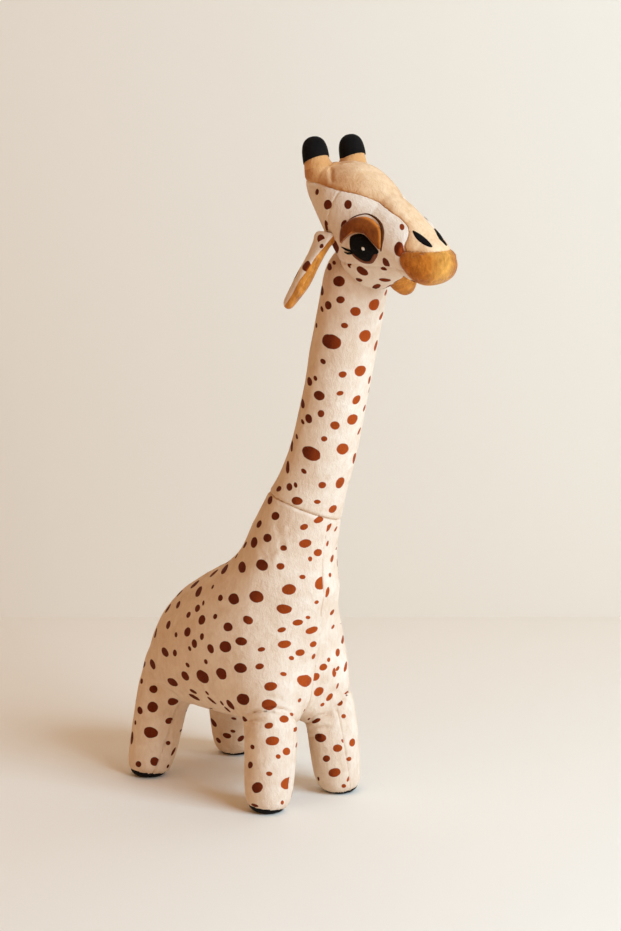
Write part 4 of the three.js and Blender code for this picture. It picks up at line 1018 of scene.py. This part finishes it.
# printed spots: those that the photograph shows, as across, down, length, width and turn in its pixels
shownSpots = {
    "face": [(317, 192, 6.4, 3.8, 85), (327.4, 204.6, 10, 7.6, 80), (348, 204.4, 9.2, 7.4, 85),
             (326.8, 226.5, 12.6, 5, 110), (334.8, 246.3, 15, 7, 110), (343.8, 224, 9, 5, 65),
             (386, 262.8, 11, 6, 120), (384, 268.8, 7, 3.8, 155), (362.4, 271.3, 13.5, 7, 150),
             (398.5, 249, 15, 9, 90), (402, 227, 7, 5, 100), (358.7, 280, 7, 3.4, 160), (385, 280.2, 12, 3.4, 175),
             (404, 276.5, 6, 4, 20), (329, 266.4, 9.2, 4.6, 95), (334, 262.6, 5.4, 3.4, 115)],
    "neck": [(338.6, 281.2, 11.6, 10.6, 165), (321.8, 290.5, 10.2, 4.2, 88),
             (376.5, 287, 9, 5, 25), (340.4, 299.8, 8.6, 7.4, 0), (328, 305.2, 8.8, 7, 100),
             (321.8, 309, 6, 2.6, 105), (374.5, 304.8, 12.4, 9.6, 55), (355.7, 311.5, 10.8, 9, 165),
             (386, 292.6, 7, 1.8, 70), (381.5, 316, 9, 2.4, 68), (344.5, 325.6, 7, 5.6, 175),
             (316.3, 325.4, 5.4, 2, 90), (365.2, 336, 12.8, 11.4, 35),
             (331, 341.8, 20, 15, 160), (376, 345.5, 11, 2.2, 75), (323, 361.5, 6.4, 4.6, 135),
             (342.8, 374.4, 8.2, 6.4, 12), (360.5, 371, 12.6, 9.8, 40),
             (369.5, 380, 9, 1.6, 78), (315.3, 378.2, 5.4, 3.6, 110), (309.3, 381.5, 9.2, 5, 100),
             (319, 395.5, 11.2, 9.2, 160), (340, 393.3, 7.4, 4.8, 10),
             (302.4, 403.5, 10, 4.4, 95), (356.7, 399.7, 10.4, 6.4, 55), (321, 413.7, 7.6, 6.6, 95),
             (308.5, 418.5, 9.4, 6.6, 110), (302.5, 421.7, 5.4, 2.8, 110), (364.4, 408, 7.6, 1.6, 72),
             (352.7, 419.3, 11.8, 9.4, 50), (335, 425.4, 9.6, 8.6, 165), (296.7, 436.5, 5.4, 2, 95),
             (359.2, 431.2, 8.4, 1.6, 68), (324.2, 438.9, 6.4, 5.2, 0), (291.8, 446, 11, 2.4, 87),
             (343, 448.8, 12.4, 11.2, 45), (311, 453.5, 19.4, 13.6, 153), (354.4, 458.5, 11.4, 2.4, 77),
             (287.6, 467, 13, 3.4, 87), (303.8, 471.3, 6.6, 4.4, 135), (340.2, 482.8, 12, 9.6, 55),
             (322.2, 485.2, 8, 6.4, 10), (295.6, 485.1, 5.6, 3.6, 105), (289.3, 487, 7.8, 6, 95),
             (278.7, 488.8, 7, 4.6, 55), (297, 501, 11, 8.6, 0),
             (317.3, 501.8, 6.8, 4.4, 0), (333, 509, 9.5, 6.6, 45)],
    "shoulder": [(269.8, 500, 9, 5, 75), (275.2, 516, 8.4, 8, 60), (259, 524, 8.2, 5.4, 65),
                 (319, 519.8, 10.4, 6, 25), (304, 527, 8.4, 6, 20), (328.3, 527.8, 10.5, 4.4, 48),
                 (335.8, 529, 6, 1.6, 62), (267.3, 538, 9.4, 8.6, 0), (253.9, 542.5, 11.2, 7.6, 80),
                 (244.9, 545, 8, 2.6, 63), (236.5, 556, 5.6, 2, 58), (305, 543.6, 13, 8.6, 10),
                 (327.5, 543.5, 6, 2.2, 75), (283.6, 548, 6.6, 5.6, 0), (336.3, 548.5, 5, 1.6, 75),
                 (318, 552.6, 8.6, 7.4, 20), (310.2, 559, 5.4, 4.4, 90), (332.3, 558.3, 8, 2.6, 75),
                 (262, 565, 12.4, 11, 150), (280.6, 566.4, 8.6, 6.8, 0), (242, 567, 11.8, 9.8, 90),
                 (224.8, 569, 12.5, 5.5, 57), (213.8, 573.2, 12, 2, 42), (302.6, 576.9, 6.2, 4.5, 0),
                 (321.5, 583, 14.5, 11, 55), (330, 575, 4.6, 2.8, 90), (327.6, 592, 11, 3.6, 80),
                 (289, 589.4, 14.4, 10.4, 5), (256.5, 597, 14.2, 12, 165), (212.7, 586.9, 5, 2, 65),
                 (220.3, 597.9, 6.6, 4.6, 75), (233.6, 599, 11.8, 10.6, 120)],
    "side": [(194.7, 584.3, 12, 3, 43), (198.6, 591.6, 11.8, 5.4, 63), (179.5, 593.3, 8.5, 2.2, 48),
             (178.2, 604.5, 8.4, 4, 65), (168, 608.3, 10.6, 4, 58), (203.3, 603, 5.4, 2.2, 80),
             (197.6, 608.2, 7.8, 5, 70), (188.5, 614.8, 6.8, 4, 65), (201.9, 619.8, 9.6, 7, 75),
             (215.2, 616.4, 5.6, 4.2, 70), (228, 627, 9.6, 8.8, 160), (247.8, 620, 10.8, 8, 155),
             (168.3, 625, 8.6, 5, 75), (155.6, 633, 11, 5.4, 75), (176, 634.7, 5.4, 3, 90),
             (187.3, 632, 9.8, 7.2, 75), (202, 636.6, 7.2, 4, 85), (194.3, 643.6, 9, 5.4, 95),
             (189.7, 648.6, 5.2, 3, 110), (225.2, 646.8, 12.4, 11, 155), (241.2, 641.5, 11.8, 8.6, 175),
             (210.6, 648.7, 9.8, 6.2, 110), (164.8, 652, 11.6, 7.2, 115), (174.8, 653, 6.8, 4.2, 95),
             (152.5, 664.3, 10.8, 7, 110), (144.2, 664.6, 7, 2, 75), (205.8, 661.7, 5.4, 3.6, 110),
             (187.5, 665, 5.8, 3.2, 125), (240.4, 668, 13.6, 10, 165), (185.1, 676, 10.6, 6.4, 125),
             (202.6, 676.7, 15.4, 10, 130), (221.3, 673.9, 12.8, 9.6, 120), (141.5, 681.2, 5.6, 2.8, 85),
             (172.5, 682.3, 14.5, 6.6, 145), (153.5, 689.3, 9.4, 8, 0), (193, 691.4, 9, 2.8, 150),
             (194.4, 697.3, 13, 3, 148), (207, 693, 5.4, 2, 130), (211.7, 700.6, 12, 2.2, 140),
             (221.8, 703.2, 5.8, 2, 128), (230.4, 705, 12.4, 4.8, 128), (242.8, 699.3, 12.6, 11, 150),
             (227.3, 709.5, 8.5, 2, 138)],
    "chest": [(284, 609, 15.6, 9.8, 175), (316.7, 602.2, 4.8, 3.8, 25), (308, 617.5, 5, 3.8, 0),
              (297.8, 622.6, 11, 6, 8), (281.5, 629.9, 8.8, 5, 15), (312, 630.2, 12.8, 6.6, 22),
              (332.3, 612.4, 7.4, 2.8, 58), (333, 626.8, 5.8, 2.4, 60),
              (341, 623.8, 8.8, 2.2, 80), (284.4, 644.2, 13.2, 7.6, 8), (313.4, 644.2, 7.4, 5.6, 30),
              (261.5, 649.4, 7.6, 4.6, 10), (300.2, 652.7, 9.8, 7, 8), (291.4, 658, 5.6, 4.4, 170),
              (313.6, 656.5, 6, 3, 65), (342.9, 639.4, 10.6, 3.2, 87), (337.8, 652.4, 8, 4.4, 85),
              (328.7, 659.8, 4.8, 3.6, 80), (323.3, 667.2, 8.4, 6.6, 30), (259.6, 666.4, 8.8, 6, 10),
              (283.4, 674, 6.6, 4.2, 170), (337.6, 668.6, 5.6, 2.8, 60), (334.3, 672.5, 9.4, 4, 90),
              (345.8, 666.4, 11.6, 2.6, 82), (305.6, 681, 19.5, 12, 14), (315.3, 677, 10, 7.6, 15),
              (270.6, 686.3, 13.6, 9, 8), (337.5, 686, 6.4, 2, 70), (318.6, 691.5, 11, 7.8, 42),
              (329.4, 697.2, 9.4, 5, 50), (347.4, 692.5, 9, 2.6, 65), (299.5, 700.3, 5, 4.6, 150),
              (340, 703, 6.4, 5, 40), (322.4, 704.6, 4.6, 3, 40), (269.2, 705.5, 15, 10, 0),
              (304.3, 710.5, 3.4, 2.6, 60), (343.7, 716.2, 5, 4.4, 10), (309, 719, 4, 1.6, 30)],
    "frontLegs": [(291.9, 714.5, 5.4, 3, 135), (284, 719, 9.8, 7.4, 0), (268.7, 725.7, 9, 6.2, 15),
                  (295.6, 729.4, 8.8, 7.4, 60), (243.9, 719, 8, 4.6, 125), (272.6, 741, 13.8, 9.2, 10),
                  (252.4, 747, 5.4, 5, 30), (296.5, 745, 5.6, 1.6, 78), (286.6, 751.4, 8.6, 7.6, 15),
                  (278.3, 756.5, 5.2, 4.6, 160), (250.2, 765, 7, 5, 80), (269.2, 773.7, 6.4, 4.6, 175),
                  (288, 783, 14, 11.4, 55), (257, 787.7, 12.2, 10.8, 30), (282.3, 802.5, 4.4, 3.2, 80),
                  (254.5, 805.6, 8, 2.8, 160), (315.6, 720.8, 9.4, 4.2, 25), (320.2, 737.7, 12, 9, 170),
                  (342.7, 741, 4.6, 2.2, 115), (352.5, 742.5, 8.4, 6, 80), (337.7, 748.3, 9.8, 7.6, 10),
                  (326.4, 758.7, 7.4, 6.6, 20), (349.1, 759, 4.8, 4.6, 45), (334.2, 772.8, 12.4, 8.8, 15),
                  (318.3, 778.9, 4.8, 3.2, 105), (348.5, 778.8, 6.6, 2.8, 65), (343.8, 786, 4.8, 4, 0)],
    "rearLegs": [(173.2, 701.3, 10.8, 7.2, 5), (152.4, 707.2, 11.2, 10.8, 0), (139.8, 710.4, 8.2, 5, 102),
                 (169.5, 720.6, 8.4, 6, 25),
                 (135.3, 722.7, 5, 2, 90), (150.5, 732.6, 14.4, 11, 170), (131.8, 738, 12.6, 2.8, 85),
                 (181, 730.4, 5, 2, 55), (168.3, 743.1, 5, 4.4, 20), (173.6, 751.5, 9.4, 2.4, 62),
                 (154.6, 761.6, 9.4, 9, 0), (138.4, 764.2, 7, 6.4, 20), (168, 766.4, 4.4, 3, 60),
                 (211, 708.5, 5.6, 2.4, 165), (213, 722.5, 11.5, 4.2, 125), (234, 718.6, 5.6, 2.6, 165),
                 (232.8, 731.2, 5.2, 3, 165), (227, 735.8, 9, 5.2, 165), (218.3, 740.3, 6.8, 4, 130),
                 (241, 738.6, 8.4, 5, 40), (225.3, 752.2, 9.8, 6.4, 175)],
    "ear": [(306, 265.5, 11, 8, 60), (321.5, 246, 5, 4, 60)]}
# near the outline a shown spot doesn't stretch for ever, and seen edge on it is still about as wide as it is long
shownForm = {"slope": -0.12, "most": 0.58}
# and a like scatter where the photograph can't see: share is the square mm for each spot
hiddenSpots = {"seed": 7, "tries": 2600, "share": 620, "crowd": 1.15, "gap": 5 * mm, "smallest": 5.5, "usual": 8,
               "largest": 16, "round": (0.7, 1.0), "closing": 30, "seenFrom": 0.06, "lift": 1.5,
               "rim": 1.2, "rimSteps": 8, "rimSeenFrom": 0.3}
# how a spot is laid on the cloth: its depth, how far it is looked for, and a mark for cloth with no spot near
layForm = {"depth": 8, "near": 40 * mm, "none": 9}


def legPanel(leg):
    form = legs[leg]
    return lambda at: int((Vector(at) - form["panel"]).dot(form["lean"]) > 0)


def headPanel(at):
    x, y, z = (float(v) for v in at)
    under = z < float(np.interp(x, lines["jaw"][:, 0], lines["jaw"][:, 1]))
    back = x < float(np.interp(z, lines["dart"][::-1, 1], lines["dart"][::-1, 0]))
    return int(under) * 4 + int(back) * 2 + int(y > 0)


printed = {"body": (pieces["body"], lambda at: int(at[1] > 0)), "neck": (pieces["neck"], lambda at: 0),
           "head": (head, headPanel), "tail": (pieces["tail_cover"], lambda at: 0)}
for leg in legNames:
    printed[leg] = (pieces[leg], legPanel(leg))
for word in ("right", "left"):
    printed[word + "_ear"] = (ears[word + "_ear_outer"], lambda at: 0)
surfaces = {key: surfaceOf(obj) for key, (obj, panel) in printed.items()}
solids = {**surfaces, "forehead": surfaceOf(forehead), "muzzle": surfaceOf(muzzle),
          "right_inner": surfaceOf(ears["right_ear_inner"]), "left_inner": surfaceOf(ears["left_ear_inner"])}


def firstHit(start, way):
    hits = [(solid.ray_cast(start, way), key) for key, solid in solids.items()]
    hits = [(hit[3], hit[0], hit[1], key) for hit, key in hits if hit[0]]
    return min(hits, key=lambda hit: hit[0])[1:] if hits else (None, None, None)


spots = {key: [] for key in printed}
missed = 0
for across, down, length, width, turn in sum(shownSpots.values(), []):
    at, out, key = firstHit(camera.location, pixelRay(across, down))
    if key not in printed:
        missed += 1
        continue
    turn = math.radians(turn)
    arms = []
    for reach, dx, dy in ((length / 2, math.cos(turn), -math.sin(turn)), (width / 2, math.sin(turn), math.cos(turn))):
        way = pixelRay(across + dx * reach, down + dy * reach)
        slope = min(way.dot(out), shownForm["slope"])
        arm = camera.location + way * ((at - camera.location).dot(out) / slope) - at
        arm -= out * arm.dot(out)
        arms.append(arm * min(1, shownForm["most"] * length * mm / arm.length))
    spots[key].append((at, out, *arms, printed[key][1](at)))
print("spots from the photograph", sum(len(s) for s in spots.values()), "missed", missed)


def seenByCamera(at, out):
    way = (camera.location - at).normalized()
    if out.dot(way) < hiddenSpots["seenFrom"]:
        return False
    start = at + out * hiddenSpots["lift"] * mm
    return not any(solid.ray_cast(start, way)[0] for solid in solids.values())


def rimSeen(at, out, radius, surface):  # a hidden spot doesn't reach into a part that faces the view
    across = out.orthogonal().normalized() * radius
    for step in range(hiddenSpots["rimSteps"]):
        turn = Matrix.Rotation(step * 2 * math.pi / hiddenSpots["rimSteps"], 3, out)
        rim, way = surface.find_nearest(at + turn @ across)[:2]
        facing = way.dot((camera.location - rim).normalized())
        if facing > hiddenSpots["rimSeenFrom"] and seenByCamera(rim, way):
            return True
    return False


chance = random.Random(hiddenSpots["seed"])
for key, (obj, panel) in printed.items():
    faces = obj.data.polygons
    areas = [face.area for face in faces]
    picks = chance.choices(range(len(faces)), weights=areas, k=hiddenSpots["tries"])
    wanted = sum(areas) / (hiddenSpots["share"] * mm * mm)
    taken = [(at, max(a.length, b.length)) for at, out, a, b, part in spots[key]]
    for pick in picks:
        if len(taken) > wanted * hiddenSpots["crowd"]:
            break
        face = faces[pick]
        if face.area > hiddenSpots["closing"] * mm * mm:  # a closing face inside
            continue
        at, out = face.center.copy(), face.normal.copy()
        radius = chance.triangular(hiddenSpots["smallest"], hiddenSpots["largest"], hiddenSpots["usual"]) / 2 * mm
        if any((at - other).length < radius + size + hiddenSpots["gap"] for other, size in taken):
            continue
        if seenByCamera(at, out) or rimSeen(at, out, radius * hiddenSpots["rim"], surfaces[key]):
            continue
        taken.append((at, radius))
        arm = out.orthogonal().normalized()
        arm.rotate(Matrix.Rotation(chance.uniform(0, math.pi), 3, out))
        cross = out.cross(arm) * radius * chance.uniform(*hiddenSpots["round"])
        spots[key].append((at, out, arm * radius, cross, panel(at)))
print("spots in all", {key: len(s) for key, s in spots.items()})


def laySpots(obj, marks, panel):  # each face knows its nearest spot's middle and axes
    lay = obj.data.uv_layers.new(name="spots")
    centres = faceCentres(obj)
    panels = np.array([panel(c) for c in centres])
    best = np.full(len(centres), float(layForm["none"]))
    own = np.zeros(len(centres), int)
    axes = []
    for i, (at, out, a, b, part) in enumerate(marks):
        basis = np.linalg.inv(np.array([a, b, out.normalized() * layForm["depth"] * mm]).T)
        axes.append((np.array(at), basis))
        near = np.abs(centres - np.array(at)).max(axis=1) < layForm["near"]
        local = (centres[near] - np.array(at)) @ basis.T
        reach = np.sqrt((local ** 2).sum(axis=1)) + np.where(panels[near] == part, 0, layForm["none"])
        better = reach < best[near]
        index = np.flatnonzero(near)[better]
        best[index] = reach[better]
        own[index] = i
    total = np.empty(len(centres), int)
    obj.data.polygons.foreach_get("loop_total", total)
    start = np.empty(len(centres), int)
    obj.data.polygons.foreach_get("loop_start", start)
    corner = np.empty(len(obj.data.loops), int)
    obj.data.loops.foreach_get("vertex_index", corner)
    places = points(obj)[corner]
    order = np.argsort(np.repeat(start, total) + np.concatenate([np.arange(t) for t in total]))
    face = np.repeat(np.arange(len(centres)), total)[order]
    flat = np.full((len(corner), 2), float(layForm["none"]))
    for i, (at, basis) in enumerate(axes):
        mine = (own[face] == i) & (best[face] < layForm["none"])
        flat[mine] = ((places[mine] - at) @ basis.T)[:, :2]
    lay.data.foreach_set("uv", flat.ravel())


for key, (obj, panel) in printed.items():
    laySpots(obj, spots[key], panel)
print("spots laid")


# bodies that the pieces move with, and the finish of each piece
head.data.materials.append(printedFace)
forehead.data.materials.append(foreheadPlush)
muzzle.data.materials.append(muzzlePlush)
for obj, nodes, slot in ((head, headNodes[2:], "printed_plush"), (forehead, headNodes[:1], "caramel_plush"),
                         (muzzle, headNodes[1:2], "caramel_plush")):
    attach(obj, "head")
    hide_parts(*nodes)
for leg, form in legs.items():
    obj, sole = pieces[leg], pieces[leg + "_sole"]
    obj.data.materials.append(printedPlush)
    sole.data.materials.append(blackPlush)
    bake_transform(obj)
    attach(sole, leg + "_leg")
    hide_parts(leg + "_leg_outer", leg + "_leg_inner", leg + "_leg_filling")
    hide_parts(leg + "_sole")
pieces["neck"].data.materials.append(printedPlush)
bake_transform(pieces["neck"])
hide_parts("neck_cover", "neck_filling")
pieces["body"].data.materials.append(printedPlush)
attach(pieces["body"], "torso")
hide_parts("body_cover_right", "body_cover_left", "body_filling")
print("bodies set")

# a plain pale room: floor, wall, one large soft lamp from the right
room = {"size": 12, "floor": (246, 238, 227), "wall": (239, 230, 217), "wallBehind": 0.78,
        "fade": {"From Min": 1.2, "From Max": 2.6}, "seenSky": (238, 230, 220), "sky": (255, 194, 124),
        "skyPower": 0.48, "lampAt": (2.39, 0.27, 1.75), "lampTo": (0, 0, 0.35), "lampSize": 1.7, "lampPower": 96,
        "lamp": (193, 230, 255)}


def plainMaterial(obj, name, tint):
    material = bpy.data.materials.new(name)
    material.use_nodes = True
    shader = material.node_tree.nodes["Principled BSDF"]
    shader.inputs["Base Color"].default_value = colour(*tint)
    shader.inputs["Roughness"].default_value = 0.95
    shader.inputs["Specular IOR Level"].default_value = 0.1
    obj.data.materials.append(material)
    return material.node_tree, shader


def mixedEnd(tree, first, second, share, end):  # first and second are a node and its output, and share says how much
    either = newNode(tree, "ShaderNodeMixShader")
    wire(tree, (*share, either, "Fac"), (*first, either, 1), (*second, either, 2), (either, "Shader", end, "Surface"))


bpy.ops.mesh.primitive_plane_add(size=room["size"])
floor = bpy.context.object
floor.name = "floor"
tree, paint = plainMaterial(floor, "floorPaint", room["floor"])  # far off, the view sees it run out into the pale room
spot = newNode(tree, "ShaderNodeTexCoord")
reach = newNode(tree, "ShaderNodeVectorMath", operation="LENGTH")
fade = newNode(tree, "ShaderNodeMapRange", room["fade"], interpolation_type="SMOOTHSTEP")
path = newNode(tree, "ShaderNodeLightPath")
faded = newNode(tree, "ShaderNodeMath", operation="MULTIPLY")
pale = newNode(tree, "ShaderNodeEmission", {"Color": colour(*room["seenSky"])})
wire(tree, (spot, "Object", reach, 0), (reach, "Value", fade, "Value"), (fade, "Result", faded, 0),
     (path, "Is Camera Ray", faded, 1))
mixedEnd(tree, (paint, "BSDF"), (pale, "Emission"), (faded, "Value"), tree.nodes["Material Output"])

heading = math.radians(photo["heading"])
behind = Vector((-math.sin(heading), math.cos(heading), 0)) * room["wallBehind"]
bpy.ops.mesh.primitive_plane_add(size=room["size"], location=behind + Vector((0, 0, room["size"] / 2)),
                                 rotation=(math.radians(90), 0, heading))
wall = bpy.context.object
wall.name = "wall"
tree, paint = plainMaterial(wall, "wallPaint", room["wall"])  # from behind, it lets the view through
side = newNode(tree, "ShaderNodeNewGeometry")
clear = newNode(tree, "ShaderNodeBsdfTransparent")
mixedEnd(tree, (paint, "BSDF"), (clear, "BSDF"), (side, "Backfacing"), tree.nodes["Material Output"])

bpy.ops.object.light_add(type="AREA", location=room["lampAt"])
lamp = bpy.context.object
lamp.data.energy = room["lampPower"]
lamp.data.size = room["lampSize"]
lamp.data.color = colour(*room["lamp"])[:3]
lamp.rotation_euler = (Vector(room["lampTo"]) - lamp.location).to_track_quat("-Z", "Y").to_euler()
scene.world = bpy.data.worlds.new("room")
scene.world.use_nodes = True
tree = scene.world.node_tree  # the view sees a pale wall behind the room, its warm light stays
sky = tree.nodes["Background"]
sky.inputs["Color"].default_value = colour(*room["sky"])
sky.inputs["Strength"].default_value = room["skyPower"]
seen = newNode(tree, "ShaderNodeBackground", {"Color": colour(*room["seenSky"])})
path = newNode(tree, "ShaderNodeLightPath")
mixedEnd(tree, (sky, "Background"), (seen, "Background"), (path, "Is Camera Ray"), tree.nodes["World Output"])
print("room lit")
